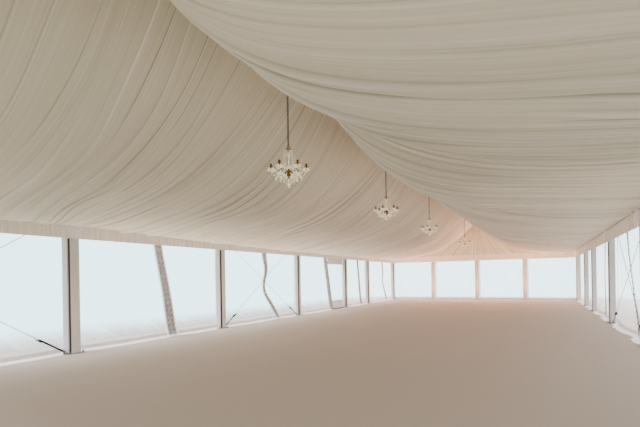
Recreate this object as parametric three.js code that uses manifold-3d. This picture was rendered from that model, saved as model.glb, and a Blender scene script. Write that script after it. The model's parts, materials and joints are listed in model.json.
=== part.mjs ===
// Frame marquee tent: a clear-span tent of six bays, with a swagged ceiling lining,
// draped legs, clear side walls, a closed far gable and four chandeliers.
// Millimetres, +Z up. X runs across the tent, Y along it, from the open near end
// to the closed far gable. The origin is on the ground, in the middle of the plan.

import * as THREE from 'three';
import { mergeVertices } from 'three/addons/utils/BufferGeometryUtils.js';
import Module from 'manifold-3d';

const wasm = await Module();
wasm.setup();

// Driving dimensions
const SPAN = 10000;
const BAYS = [4500, 4500, 4500, 4500, 3000, 4500];
const PITCH = THREE.MathUtils.degToRad(20);
const EAVE_Z = 2780;
const TOUCH = 0.3;

// Aluminium frame
const BEAM_DEPTH = 120;
const BEAM_WIDTH = 80;
const RIDGE_FLAT = 80;
const PLATE = { x: 250, y: 380, thick: 12 };
const POST_PLATE_MARGIN = 30;
const RIDGE_PURLIN = 60;
const EAVE_PURLIN = { bottom: 2690, top: 2785 };
const WALL_CLEARANCE = 17;
const GABLE_WALL_CLEARANCE = 5;
const WELD = 1;

// Leg and post drapes
const DRAPE_SIDE = 240;
const DRAPE_THICK = 12;

// Ceiling lining: z falls from the ridge to the eave as (1 - s) to a power, s being the
// part of the way from ridge to eave. A higher power hangs lower, and each bay is hung
// with its own slack, so the power in the middle of the bay differs from bay to bay.
const LINER_EAVE_Z = 2570;
const LINER_THICK = 24;
const LINER_POWER_AT_FRAME = 2.9;
const LINER_POWERS_MID_BAY = [4.5, 5.4, 4.6, 4.2, 3.8, 4.2];
const LINER_STEPS_ACROSS = 8;
const LINER_STEPS_ALONG = 6;
const LINER_STEP_POWER = 1.4;
const LINER_GAP_AT_FRAME = 16;
const GABLE_LINER_THICK = 26;

// Valance along the eaves, with a smooth cuff over each leg
const VALANCE_BOTTOM = 2280;
const VALANCE_THICK = 15.7;
const CUFF = { width: 290, thick: 22, bottom: 2290, overlap: 5 };

// Walls, roof covers and gable covers
const SHEET = 10;
const COVER_THICK = 8.5;
const COVER_FLAP_THICK = 8;
const SIDE_WALL_TOP = 2740;
const COVER_FLAP_BOTTOM = 2640;
const COVER_OVERHANG = 20;
const GABLE_RAIL = { bottom: 2600, top: 2690 };
const GABLE_WALL_TOP = 2640;
const POST_XS = [-SPAN / 4, 0, SPAN / 4];
const JOINT_GAP = 1;

// Entry panel: the far half of one left bay, a sheet with a thicker header band
const ENTRY_BAY = 3;
const ENTRY = { header: 250, thick: 14 };

// Cable bracing in the side walls
const BRACED_BAYS = [0, 2];
const BRACE = { radius: 7, sides: 6, footX: 4990, offset: 160, foot: 56, footHeight: 70, head: 36 };

// Chandeliers hang under the ridge at these frames, and one more frame has an empty hook
const CHANDELIER_FRAMES = [1, 2, 3, 5];
const HOOK_FRAMES = [1, 2, 3, 4, 5];
const HOOK = { drop: 56, rod: 5, rodSides: 8, halfWidth: 19, cheek: 6, headroom: 9, pin: 4, pinSides: 12 };
const EYE = { hole: 4.6, outer: 13, thick: 8, curveSegments: 6, overlap: 4 };
const CHAIN_RADIUS = 5;
const LAMP = {
  top: 3300,
  hub: 2925,
  bottom: 2700,
  sides: 8,
  stemRadius: 14,
  crownRadius: 42,
  bowlRadius: 92,
  dropRadius: 48,
};
const ARM = { count: 6, reach: 255, radius: 7, sides: 5, steps: 6, root: 60, dip: 45, turn: Math.PI / 6 };
const CANDLE = { cup: 3000, top: 3095, cupRadius: 26, radius: 10, sides: 6 };

// Materials
function finish(color, roughness, metalness = 0, extra = {}) {
  return new THREE.MeshStandardMaterial({ color, roughness, metalness, ...extra });
}
const aluminium = () => finish(0xb9bcbe, 0.45, 0.9);
const drapeCloth = () => finish(0xb5ac9f, 0.9);
const linerCloth = () => finish(0xcdc3b2, 0.92);
const roofPvc = () => finish(0xf1f0ea, 0.5);
const clearPvc = () => finish(0xeaf2f3, 0.12, 0, { transparent: true, opacity: 0.45 });
const wirePaint = () => finish(0x2b2b2c, 0.5, 0.4);
const brass = () => finish(0x9a7b3a, 0.35, 0.9);

// Places worked out from the driving dimensions
const HALF_SPAN = SPAN / 2;
const LENGTH = BAYS.reduce((sum, bay) => sum + bay, 0);
const HALF_LENGTH = LENGTH / 2;
const FRAME_YS = [-HALF_LENGTH];
for (const bay of BAYS) FRAME_YS.push(FRAME_YS[FRAME_YS.length - 1] + bay);
const LAST = BAYS.length;
const RISE = Math.tan(PITCH);
const RIDGE_Z = EAVE_Z + HALF_SPAN * RISE;
const HALF_DEPTH = BEAM_DEPTH / 2;
const RAFTER_OFFSET = HALF_DEPTH / Math.cos(PITCH);
const LEG_INNER_X = HALF_SPAN - HALF_DEPTH;
const LEG_OUTER_X = HALF_SPAN + HALF_DEPTH;
const DRAPE_HALF = DRAPE_SIDE / 2;
const DRAPE_INNER_X = HALF_SPAN - DRAPE_HALF;
const DRAPE_TOP = LINER_EAVE_Z - TOUCH;
const WALL_INNER_X = HALF_SPAN + DRAPE_HALF + WALL_CLEARANCE;
const GABLE_WALL_Y = HALF_LENGTH + DRAPE_HALF + GABLE_WALL_CLEARANCE;
const END_Y = GABLE_WALL_Y + SHEET;
const PURLIN_END_Y = GABLE_WALL_Y - TOUCH;
const RIDGE_FLAT_Z = RIDGE_Z - RAFTER_OFFSET - RIDGE_FLAT / 2 * RISE;
const RIDGE_PURLIN_TOP = RIDGE_FLAT_Z - TOUCH;
const RIDGE_PURLIN_BOTTOM = RIDGE_PURLIN_TOP - RIDGE_PURLIN;
const LINER_RIDGE_Z = RIDGE_PURLIN_BOTTOM - TOUCH - LINER_THICK;
const LINER_HALF = LEG_INNER_X - TOUCH;
const GABLE_LINER_Y = HALF_LENGTH - DRAPE_HALF - TOUCH;
const LINER_END_Y = GABLE_LINER_Y - GABLE_LINER_THICK - TOUCH;
const PIVOT_Z = LINER_RIDGE_Z - HOOK.drop;

const group = new THREE.Group();

function addPart(name, geometry, material) {
  const mesh = new THREE.Mesh(geometry, material);
  mesh.name = name;
  group.add(mesh);
}

// Joining and cutting
function toSolid(geometry) {
  const plain = geometry.index ? geometry.toNonIndexed() : geometry.clone();
  plain.deleteAttribute('normal');
  plain.deleteAttribute('uv');
  const merged = mergeVertices(plain, 1e-3);
  return new wasm.Manifold(new wasm.Mesh({
    numProp: 3,
    vertProperties: new Float32Array(merged.attributes.position.array),
    triVerts: new Uint32Array(merged.index.array),
  }));
}

function toGeometry(solid) {
  const mesh = solid.getMesh();
  const geometry = new THREE.BufferGeometry();
  geometry.setAttribute('position', new THREE.BufferAttribute(mesh.vertProperties, 3));
  geometry.setIndex(new THREE.BufferAttribute(mesh.triVerts, 1));
  return geometry;
}

function joined(geometries) {
  const solids = geometries.map(toSolid);
  return toGeometry(solids.reduce((sum, solid) => sum.add(solid)));
}

// Basic shapes
function block(x0, x1, y0, y1, z0, z1) {
  const geometry = new THREE.BoxGeometry(x1 - x0, y1 - y0, z1 - z0);
  geometry.translate((x0 + x1) / 2, (y0 + y1) / 2, (z0 + z1) / 2);
  return geometry;
}

// A flat outline of [x, z] points, swept along Y from y0 to y1
function sweptAlongY(points, y0, y1) {
  const shape = new THREE.Shape(points.map(([x, z]) => new THREE.Vector2(x, z)));
  const geometry = new THREE.ExtrudeGeometry(shape, { depth: y1 - y0, bevelEnabled: false });
  geometry.rotateX(Math.PI / 2);
  geometry.translate(0, y1, 0);
  return geometry;
}

// A straight round bar between two points
function bar(from, to, radius, sides) {
  const start = new THREE.Vector3(...from);
  const run = new THREE.Vector3(...to).sub(start);
  const geometry = new THREE.CylinderGeometry(radius, radius, run.length(), sides);
  geometry.translate(0, run.length() / 2, 0);
  const turn = new THREE.Quaternion();
  turn.setFromUnitVectors(new THREE.Vector3(0, 1, 0), run.clone().normalize());
  geometry.applyQuaternion(turn);
  geometry.translate(...from);
  return geometry;
}

// A turned shape about a vertical axis: profile of [radius, z] points from the bottom up
function turned(profile, sides) {
  const points = profile.map(([radius, z]) => new THREE.Vector2(radius, z));
  const geometry = new THREE.LatheGeometry(points, sides);
  geometry.rotateX(Math.PI / 2);
  return geometry;
}

// A sheet with thickness, from a grid of lower points and the same grid raised
function thickSheet(low, high) {
  const rows = low.length;
  const columns = low[0].length;
  const positions = [];
  for (const grid of [low, high]) {
    for (const row of grid) {
      for (const point of row) positions.push(...point);
    }
  }
  const lower = (i, j) => i * columns + j;
  const upper = (i, j) => rows * columns + i * columns + j;
  const faces = [];
  const quad = (a, b, c, d) => faces.push(a, b, c, a, c, d);
  for (let i = 0; i < rows - 1; i += 1) {
    for (let j = 0; j < columns - 1; j += 1) {
      quad(lower(i, j), lower(i, j + 1), lower(i + 1, j + 1), lower(i + 1, j));
      quad(upper(i, j), upper(i + 1, j), upper(i + 1, j + 1), upper(i, j + 1));
    }
    const last = columns - 1;
    quad(lower(i, 0), lower(i + 1, 0), upper(i + 1, 0), upper(i, 0));
    quad(lower(i + 1, last), lower(i, last), upper(i, last), upper(i + 1, last));
  }
  for (let j = 0; j < columns - 1; j += 1) {
    const last = rows - 1;
    quad(lower(0, j + 1), lower(0, j), upper(0, j), upper(0, j + 1));
    quad(lower(last, j), lower(last, j + 1), upper(last, j + 1), upper(last, j));
  }
  const geometry = new THREE.BufferGeometry();
  geometry.setAttribute('position', new THREE.Float32BufferAttribute(positions, 3));
  geometry.setIndex(faces);
  return geometry;
}

// Height of the rafter's centre line, and of the underside of the roof cover
const rafterZ = (x) => RIDGE_Z - Math.abs(x) * RISE;
const coverZ = (x) => rafterZ(x) + RAFTER_OFFSET + TOUCH;

// Portal frames: two legs and two rafters of box beam, on base plates
function portalFrame(y) {
  const outline = [
    [-LEG_OUTER_X, 0],
    [-LEG_OUTER_X, rafterZ(LEG_OUTER_X) + RAFTER_OFFSET],
    [0, RIDGE_Z + RAFTER_OFFSET],
    [LEG_OUTER_X, rafterZ(LEG_OUTER_X) + RAFTER_OFFSET],
    [LEG_OUTER_X, 0],
    [LEG_INNER_X, 0],
    [LEG_INNER_X, rafterZ(LEG_INNER_X) - RAFTER_OFFSET],
    [RIDGE_FLAT / 2, RIDGE_FLAT_Z],
    [-RIDGE_FLAT / 2, RIDGE_FLAT_Z],
    [-LEG_INNER_X, rafterZ(LEG_INNER_X) - RAFTER_OFFSET],
    [-LEG_INNER_X, 0],
  ];
  const pieces = [sweptAlongY(outline, y - BEAM_WIDTH / 2, y + BEAM_WIDTH / 2)];
  const y0 = Math.max(y - PLATE.y / 2, -PURLIN_END_Y);
  const y1 = Math.min(y + PLATE.y / 2, PURLIN_END_Y);
  for (const side of [-1, 1]) {
    const x = side * HALF_SPAN;
    pieces.push(block(x - PLATE.x / 2, x + PLATE.x / 2, y0, y1, 0, PLATE.thick));
  }
  return joined(pieces);
}
FRAME_YS.forEach((y, k) => addPart(`portal_frame_${k}`, portalFrame(y), aluminium()));

// Ridge purlin, with a shackle hook under it at each inner frame
function ridgePurlin() {
  const half = RIDGE_PURLIN / 2;
  const pieces = [block(-half, half, -PURLIN_END_Y, PURLIN_END_Y, RIDGE_PURLIN_BOTTOM, RIDGE_PURLIN_TOP)];
  const bridgeZ = PIVOT_Z + EYE.outer + HOOK.headroom;
  const outer = HOOK.halfWidth;
  const inner = HOOK.halfWidth - HOOK.cheek;
  const pinEnd = outer - WELD;
  for (const k of HOOK_FRAMES) {
    const y = FRAME_YS[k];
    const y0 = y - HOOK.rod;
    const y1 = y + HOOK.rod;
    pieces.push(bar([0, y, bridgeZ], [0, y, RIDGE_PURLIN_BOTTOM + WELD], HOOK.rod, HOOK.rodSides));
    pieces.push(block(-outer, outer, y0, y1, bridgeZ - HOOK.cheek, bridgeZ));
    for (const side of [-1, 1]) {
      const xs = [side * inner, side * outer].sort((a, b) => a - b);
      pieces.push(block(xs[0], xs[1], y0, y1, PIVOT_Z - HOOK.rod, bridgeZ - WELD));
    }
    pieces.push(bar([-pinEnd, y, PIVOT_Z], [pinEnd, y, PIVOT_Z], HOOK.pin, HOOK.pinSides));
  }
  return joined(pieces);
}
addPart('ridge_purlin', ridgePurlin(), aluminium());

// Eave purlins run along the outer faces of the legs
for (const [side, sign] of [['left', -1], ['right', 1]]) {
  const xs = [sign * (LEG_OUTER_X + TOUCH), sign * (WALL_INNER_X - TOUCH)].sort((a, b) => a - b);
  const purlin = block(xs[0], xs[1], -PURLIN_END_Y, PURLIN_END_Y, EAVE_PURLIN.bottom, EAVE_PURLIN.top);
  addPart(`${side}_eave_purlin`, purlin, aluminium());
}

// Gable frames: a beam and an outer rail between the corner legs, and posts under the far one
function gableFrame(sign, postXs) {
  const y = sign * HALF_LENGTH;
  const inner = y - sign * BEAM_WIDTH / 2;
  const outer = y + sign * BEAM_WIDTH / 2;
  const ys = (a, b) => [Math.min(a, b), Math.max(a, b)];
  const beamX = LEG_INNER_X - TOUCH;
  const railYs = ys(outer + sign * TOUCH, sign * PURLIN_END_Y);
  const pieces = [
    block(-beamX, beamX, ...ys(inner, outer + sign * WELD), GABLE_RAIL.bottom, GABLE_RAIL.top),
    block(-LEG_OUTER_X, LEG_OUTER_X, ...railYs, GABLE_RAIL.bottom, GABLE_RAIL.top),
  ];
  const half = BEAM_WIDTH / 2;
  const plateHalf = half + POST_PLATE_MARGIN;
  const plateYs = ys(inner - sign * POST_PLATE_MARGIN, outer + sign * POST_PLATE_MARGIN);
  const underRafter = (x) => rafterZ(x) - RAFTER_OFFSET - TOUCH;
  for (const x of postXs) {
    const middle = x === 0;
    const outline = [
      [x - half, 0],
      [x + half, 0],
      [x + half, middle ? RIDGE_PURLIN_BOTTOM - TOUCH : underRafter(x + half)],
      [x - half, middle ? RIDGE_PURLIN_BOTTOM - TOUCH : underRafter(x - half)],
    ];
    pieces.push(sweptAlongY(outline, ...ys(inner, outer)));
    pieces.push(block(x - plateHalf, x + plateHalf, ...plateYs, 0, PLATE.thick));
  }
  return joined(pieces);
}
addPart('far_gable_frame', gableFrame(1, POST_XS), aluminium());
addPart('near_gable_beam', gableFrame(-1, []), aluminium());

// Drapes: a fabric sleeve round each leg and each gable post
function sleeve(x, y) {
  const outerHalf = DRAPE_HALF;
  const innerHalf = DRAPE_HALF - DRAPE_THICK;
  const square = (half) => [
    new THREE.Vector2(x - half, y - half),
    new THREE.Vector2(x + half, y - half),
    new THREE.Vector2(x + half, y + half),
    new THREE.Vector2(x - half, y + half),
  ];
  const shape = new THREE.Shape(square(outerHalf));
  shape.holes.push(new THREE.Path(square(innerHalf)));
  const bottom = PLATE.thick + TOUCH;
  const geometry = new THREE.ExtrudeGeometry(shape, { depth: DRAPE_TOP - bottom, bevelEnabled: false });
  geometry.translate(0, 0, bottom);
  return geometry;
}

// Ceiling lining, one swagged piece a bay
function linerZ(x, along, powerMidBay) {
  const s = Math.min(1, Math.abs(x) / LINER_HALF);
  const slack = Math.sin(Math.PI * along);
  const power = LINER_POWER_AT_FRAME + (powerMidBay - LINER_POWER_AT_FRAME) * slack;
  return LINER_EAVE_Z + (LINER_RIDGE_Z - LINER_EAVE_Z) * (1 - s) ** power;
}

// Section places across, closer together near the ridge where the lining is steep
const LINER_XS = [];
for (let i = -LINER_STEPS_ACROSS; i <= LINER_STEPS_ACROSS; i += 1) {
  const share = (Math.abs(i) / LINER_STEPS_ACROSS) ** LINER_STEP_POWER;
  LINER_XS.push(Math.sign(i) * LINER_HALF * share);
}

function linerBay(y0, y1, powerMidBay) {
  const grid = (raise) => LINER_XS.map((x) => {
    const row = [];
    for (let j = 0; j <= LINER_STEPS_ALONG; j += 1) {
      const along = j / LINER_STEPS_ALONG;
      row.push([x, y0 + (y1 - y0) * along, linerZ(x, along, powerMidBay) + raise]);
    }
    return row;
  });
  return thickSheet(grid(0), grid(LINER_THICK));
}
BAYS.forEach((bay, k) => {
  const y0 = k === 0 ? -LINER_END_Y : FRAME_YS[k] + LINER_GAP_AT_FRAME / 2;
  const y1 = k === LAST - 1 ? LINER_END_Y : FRAME_YS[k + 1] - LINER_GAP_AT_FRAME / 2;
  addPart(`liner_bay_${k}`, linerBay(y0, y1, LINER_POWERS_MID_BAY[k]), linerCloth());
});

// Gable linings close the ends of the lining, above the valance line
for (const [end, sign] of [['near', -1], ['far', 1]]) {
  const outline = LINER_XS.map((x) => [x, linerZ(x, 0, LINER_POWER_AT_FRAME) + LINER_THICK]);
  outline.push([LINER_HALF, LINER_EAVE_Z], [-LINER_HALF, LINER_EAVE_Z]);
  const outer = sign * GABLE_LINER_Y;
  const ys = [outer, outer - sign * GABLE_LINER_THICK].sort((a, b) => a - b);
  addPart(`${end}_gable_liner`, sweptAlongY(outline, ys[0], ys[1]), linerCloth());
}

// Drapery: a gathered valance under the lining's edge, the leg drapes that hang from it,
// and a smooth cuff over each leg
const VALANCE_TOP = LINER_EAVE_Z - TOUCH;
const VALANCE_INNER_X = DRAPE_INNER_X - VALANCE_THICK;
const INTO_DRAPE = DRAPE_THICK / 2;
for (const [side, sign] of [['left', -1], ['right', 1]]) {
  const ordered = (a, b) => [sign * a, sign * b].sort((p, q) => p - q);
  const far = HALF_LENGTH - DRAPE_HALF + INTO_DRAPE;
  const near = -HALF_LENGTH - DRAPE_HALF;
  const valanceXs = ordered(VALANCE_INNER_X, DRAPE_INNER_X + INTO_DRAPE);
  const pieces = [block(...valanceXs, near, far, VALANCE_BOTTOM, VALANCE_TOP)];
  for (const y of FRAME_YS) pieces.push(sleeve(sign * HALF_SPAN, y));
  const cuffXs = ordered(VALANCE_INNER_X - CUFF.thick, VALANCE_INNER_X + CUFF.overlap);
  FRAME_YS.slice(0, LAST).forEach((y, k) => {
    const y0 = k === 0 ? near : y - CUFF.width / 2;
    pieces.push(block(...cuffXs, y0, y + CUFF.width / 2, CUFF.bottom, VALANCE_TOP));
  });
  addPart(`${side}_eave_drapery`, joined(pieces), drapeCloth());
}
const gableValanceHalf = VALANCE_INNER_X - TOUCH;
const gableValanceYs = [
  HALF_LENGTH - DRAPE_HALF - VALANCE_THICK,
  HALF_LENGTH - DRAPE_HALF + INTO_DRAPE,
];
addPart('gable_drapery', joined([
  block(-gableValanceHalf, gableValanceHalf, ...gableValanceYs, VALANCE_BOTTOM, VALANCE_TOP),
  ...POST_XS.map((x) => sleeve(x, HALF_LENGTH)),
]), drapeCloth());

// Roof covers, one a bay: eave flap, two slopes and eave flap in one sheet
const FLAP_INNER_X = WALL_INNER_X + SHEET + TOUCH;
const FLAP_OUTER_X = FLAP_INNER_X + COVER_FLAP_THICK;
function roofCover(y0, y1) {
  const outline = [
    [-FLAP_OUTER_X, COVER_FLAP_BOTTOM],
    [-FLAP_OUTER_X, coverZ(FLAP_OUTER_X) + COVER_THICK],
    [0, coverZ(0) + COVER_THICK],
    [FLAP_OUTER_X, coverZ(FLAP_OUTER_X) + COVER_THICK],
    [FLAP_OUTER_X, COVER_FLAP_BOTTOM],
    [FLAP_INNER_X, COVER_FLAP_BOTTOM],
    [FLAP_INNER_X, coverZ(FLAP_INNER_X)],
    [0, coverZ(0)],
    [-FLAP_INNER_X, coverZ(FLAP_INNER_X)],
    [-FLAP_INNER_X, COVER_FLAP_BOTTOM],
  ];
  return sweptAlongY(outline, y0, y1);
}
const bayStart = (k, end) => (k === 0 ? -end : FRAME_YS[k] + JOINT_GAP / 2);
const bayEnd = (k, end) => (k === LAST - 1 ? end : FRAME_YS[k + 1] - JOINT_GAP / 2);
BAYS.forEach((bay, k) => {
  const end = END_Y + COVER_OVERHANG;
  addPart(`roof_cover_bay_${k}`, roofCover(bayStart(k, end), bayEnd(k, end)), roofPvc());
});

// Gable covers: the flat triangles of roof sheet at both ends
for (const [end, sign] of [['near', -1], ['far', 1]]) {
  const half = WALL_INNER_X - TOUCH;
  const bottom = GABLE_WALL_TOP + TOUCH;
  const outline = [
    [-half, bottom],
    [half, bottom],
    [half, coverZ(half) - TOUCH],
    [0, coverZ(0) - TOUCH],
    [-half, coverZ(half) - TOUCH],
  ];
  const ys = [sign * GABLE_WALL_Y, sign * END_Y].sort((a, b) => a - b);
  addPart(`${end}_gable_cover`, sweptAlongY(outline, ys[0], ys[1]), roofPvc());
}

// Clear side walls, one a bay, hung on the eave purlins and standing on the ground
function sideWall(sign, y0, y1) {
  const xs = [sign * WALL_INNER_X, sign * (WALL_INNER_X + SHEET)].sort((a, b) => a - b);
  return block(xs[0], xs[1], y0, y1, 0, SIDE_WALL_TOP);
}
const entryStart = FRAME_YS[ENTRY_BAY] + BAYS[ENTRY_BAY] / 2;
BAYS.forEach((bay, k) => {
  const y0 = bayStart(k, END_Y);
  const y1 = bayEnd(k, END_Y);
  const leftEnd = k === ENTRY_BAY ? entryStart - JOINT_GAP / 2 : y1;
  addPart(`left_wall_bay_${k}`, sideWall(-1, y0, leftEnd), clearPvc());
  addPart(`right_wall_bay_${k}`, sideWall(1, y0, y1), clearPvc());
});

// Entry panel: a clear roll-up sheet with a thicker header band, just before a left leg
function entryPanel() {
  const y0 = entryStart + JOINT_GAP / 2;
  const headerXs = [-WALL_INNER_X - SHEET, -WALL_INNER_X - SHEET + ENTRY.thick];
  const headerEnd = FRAME_YS[ENTRY_BAY + 1] - DRAPE_HALF - TOUCH;
  const headerTop = EAVE_PURLIN.bottom - TOUCH;
  return joined([
    sideWall(-1, y0, bayEnd(ENTRY_BAY, END_Y)),
    block(...headerXs, y0, headerEnd, headerTop - ENTRY.header, headerTop),
  ]);
}
addPart('entry_panel', entryPanel(), clearPvc());

// Far gable wall: four clear panels in one laced sheet
addPart(
  'gable_wall',
  block(-WALL_INNER_X + TOUCH, WALL_INNER_X - TOUCH, GABLE_WALL_Y, END_Y, 0, GABLE_WALL_TOP),
  clearPvc(),
);

// Crossed bracing cables, from a ratchet on each base plate to the eave purlin
function braces(sign, k) {
  const topX = sign * (LEG_OUTER_X + WALL_INNER_X) / 2;
  const footX = sign * BRACE.footX;
  const footZ = PLATE.thick + TOUCH;
  const topZ = EAVE_PURLIN.bottom - TOUCH;
  const nearY = FRAME_YS[k] + BRACE.offset;
  const farY = FRAME_YS[k + 1] - BRACE.offset;
  const foot = BRACE.foot / 2;
  const head = BRACE.head / 2;
  const around = (x, y, half) => [x - half, x + half, y - half, y + half];
  const pieces = [];
  for (const [footY, topY] of [[nearY, farY], [farY, nearY]]) {
    const from = [footX, footY, footZ + BRACE.footHeight / 2];
    const to = [topX, topY, topZ - head];
    pieces.push(bar(from, to, BRACE.radius, BRACE.sides));
    pieces.push(block(...around(footX, footY, foot), footZ, footZ + BRACE.footHeight));
    pieces.push(block(...around(topX, topY, head), topZ - BRACE.head, topZ));
  }
  return joined(pieces);
}
for (const k of BRACED_BAYS) {
  addPart(`left_bracing_bay_${k}`, braces(-1, k), wirePaint());
  addPart(`right_bracing_bay_${k}`, braces(1, k), wirePaint());
}

// Chandeliers: an eye on the hook's pin, a chain, a crown, a stem and hub, and curved arms.
// The eye lies in a plane across the pin, which runs along X.
function hangingEye() {
  const shape = new THREE.Shape();
  shape.absarc(0, 0, EYE.outer, 0, 2 * Math.PI);
  const hole = new THREE.Path();
  hole.absarc(0, 0, EYE.hole, 0, 2 * Math.PI, true);
  shape.holes.push(hole);
  const settings = { depth: EYE.thick, bevelEnabled: false, curveSegments: EYE.curveSegments };
  const geometry = new THREE.ExtrudeGeometry(shape, settings);
  geometry.translate(0, 0, -EYE.thick / 2);
  geometry.rotateY(Math.PI / 2);
  geometry.translate(0, 0, PIVOT_Z);
  return geometry;
}

// The turned stem, from the lowest drop up to the chain
function lampStem() {
  const chainTop = PIVOT_Z - EYE.outer + EYE.overlap;
  return turned([
    [0, LAMP.bottom],
    [LAMP.stemRadius, LAMP.bottom + 14],
    [LAMP.dropRadius, LAMP.bottom + 90],
    [(LAMP.dropRadius + LAMP.bowlRadius) / 2, LAMP.hub - 60],
    [LAMP.bowlRadius, LAMP.hub - 20],
    [LAMP.bowlRadius - 12, LAMP.hub + 8],
    [LAMP.stemRadius + 6, LAMP.hub + 22],
    [LAMP.stemRadius, LAMP.hub + 60],
    [LAMP.stemRadius, LAMP.top - 40],
    [LAMP.crownRadius, LAMP.top - 24],
    [LAMP.crownRadius, LAMP.top - 12],
    [LAMP.stemRadius, LAMP.top],
    [CHAIN_RADIUS, LAMP.top + 8],
    [CHAIN_RADIUS, chainTop],
    [0, chainTop],
  ], LAMP.sides);
}

// One arm: it dips from the hub and rises to its cup and candle
function lampArm(angle) {
  const at = (radius, z) => new THREE.Vector3(radius * Math.cos(angle), radius * Math.sin(angle), z);
  const path = new THREE.CatmullRomCurve3([
    at(ARM.root, LAMP.hub - 10),
    at(ARM.reach / 2, LAMP.hub - ARM.dip),
    at(ARM.reach * 0.8, LAMP.hub - ARM.dip * 0.7),
    at(ARM.reach, CANDLE.cup - 30),
    at(ARM.reach, CANDLE.cup + 5),
  ]);
  const corners = [];
  for (let side = 0; side < ARM.sides; side += 1) {
    const turn = (side / ARM.sides) * 2 * Math.PI;
    corners.push(new THREE.Vector2(ARM.radius * Math.cos(turn), ARM.radius * Math.sin(turn)));
  }
  const arm = new THREE.ExtrudeGeometry(new THREE.Shape(corners), { steps: ARM.steps, extrudePath: path });
  const cup = turned([
    [0, CANDLE.cup - 8],
    [CANDLE.cupRadius, CANDLE.cup + 8],
    [CANDLE.radius, CANDLE.cup + 12],
    [CANDLE.radius, CANDLE.top],
    [0, CANDLE.top],
  ], CANDLE.sides);
  const end = at(ARM.reach, 0);
  cup.translate(end.x, end.y, 0);
  return [arm, cup];
}

function chandelier() {
  const pieces = [lampStem(), hangingEye()];
  for (let k = 0; k < ARM.count; k += 1) {
    pieces.push(...lampArm(ARM.turn + (k / ARM.count) * 2 * Math.PI));
  }
  return joined(pieces);
}
CHANDELIER_FRAMES.forEach((k, index) => {
  const geometry = chandelier();
  geometry.translate(0, FRAME_YS[k], 0);
  addPart(`chandelier_${index + 1}`, geometry, brass());
});

export default group;
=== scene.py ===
import json
import math

import bmesh
import bpy
import numpy as np
from mathutils import Matrix, Vector


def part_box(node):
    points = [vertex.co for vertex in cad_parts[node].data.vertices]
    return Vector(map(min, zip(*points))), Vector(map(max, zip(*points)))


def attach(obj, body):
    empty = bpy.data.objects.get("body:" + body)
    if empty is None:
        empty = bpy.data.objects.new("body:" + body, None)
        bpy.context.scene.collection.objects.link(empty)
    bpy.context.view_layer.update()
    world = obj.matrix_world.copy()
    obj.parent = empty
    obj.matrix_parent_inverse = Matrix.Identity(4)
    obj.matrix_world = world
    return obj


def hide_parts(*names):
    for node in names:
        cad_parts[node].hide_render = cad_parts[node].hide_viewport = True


# Looks of a frame marquee tent: pleated ceiling lining, gathered valances, draped legs,
# clear laced walls, roof covers, cable bracing and chandeliers. Metres, in the part's frame.
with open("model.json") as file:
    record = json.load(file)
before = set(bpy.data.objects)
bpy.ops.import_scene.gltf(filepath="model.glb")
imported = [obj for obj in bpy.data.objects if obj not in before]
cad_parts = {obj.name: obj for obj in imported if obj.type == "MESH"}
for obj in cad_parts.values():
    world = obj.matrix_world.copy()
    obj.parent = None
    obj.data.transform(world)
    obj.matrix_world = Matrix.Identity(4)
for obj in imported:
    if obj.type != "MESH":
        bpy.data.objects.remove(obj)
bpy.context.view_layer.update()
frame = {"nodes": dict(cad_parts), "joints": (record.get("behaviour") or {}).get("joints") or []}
NODES = frame["nodes"]

# Driving sizes
BAYS = [4.5, 4.5, 4.5, 4.5, 3.0, 4.5]
HALF_SPAN = 5.0
HALF_LENGTH = sum(BAYS) / 2
FRAME_YS = [sum(BAYS[:k]) - HALF_LENGTH for k in range(len(BAYS) + 1)]
LAST = len(BAYS) - 1
DRAPE_HALF = 0.12
DRAPE_INNER_X = HALF_SPAN - DRAPE_HALF
POST_XS = [-HALF_SPAN / 2, 0.0, HALF_SPAN / 2]
SIDES = {"left": -1, "right": 1}

# The camera, from a fit to the feet and tops of the legs
CAMERA_PLACE = (3.23, -13.71, 1.39)
CAMERA_TURN = math.radians(26.76)
CAMERA_ROLL = math.radians(-0.98)
PICTURE_WIDTH_PX = 640
PICTURE_HEIGHT_PX = 427
FOCAL_PX = 436.9
HORIZON_PX = 278.1
SENSOR = 0.036


def make_camera():
    data = bpy.data.cameras.new("camera")
    data.sensor_width = SENSOR * 1000
    data.lens = SENSOR * 1000 * FOCAL_PX / PICTURE_WIDTH_PX
    data.shift_y = (HORIZON_PX - PICTURE_HEIGHT_PX / 2) / PICTURE_WIDTH_PX
    data.clip_start = 0.05
    data.clip_end = 400
    camera = bpy.data.objects.new("camera", data)
    turn = Matrix.Rotation(CAMERA_TURN, 4, "Z") @ Matrix.Rotation(math.pi / 2, 4, "X")
    camera.matrix_world = Matrix.Translation(CAMERA_PLACE) @ turn @ Matrix.Rotation(CAMERA_ROLL, 4, "Z")
    bpy.context.scene.collection.objects.link(camera)
    bpy.context.scene.camera = camera


make_camera()


# Nodes, for materials and for shapes
def add(tree, kind, inputs=(), **settings):
    """Adds a node with its settings. Its inputs, in order or by name, are values or other nodes."""
    made = tree.nodes.new(kind)
    for name, value in settings.items():
        setattr(made, name, value)
    for name, value in inputs.items() if isinstance(inputs, dict) else enumerate(inputs):
        if isinstance(value, bpy.types.Node):
            value = value.outputs[0]
        if isinstance(value, bpy.types.NodeSocket):
            tree.links.new(value, made.inputs[name])
        else:
            made.inputs[name].default_value = value
    return made


def linear(hex_colour):
    """An sRGB hex colour as linear red, green, blue and alpha."""
    channels = [int(hex_colour[i:i + 2], 16) / 255 for i in (1, 3, 5)]
    return [c / 12.92 if c <= 0.04045 else ((c + 0.055) / 1.055) ** 2.4 for c in channels] + [1.0]


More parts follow.
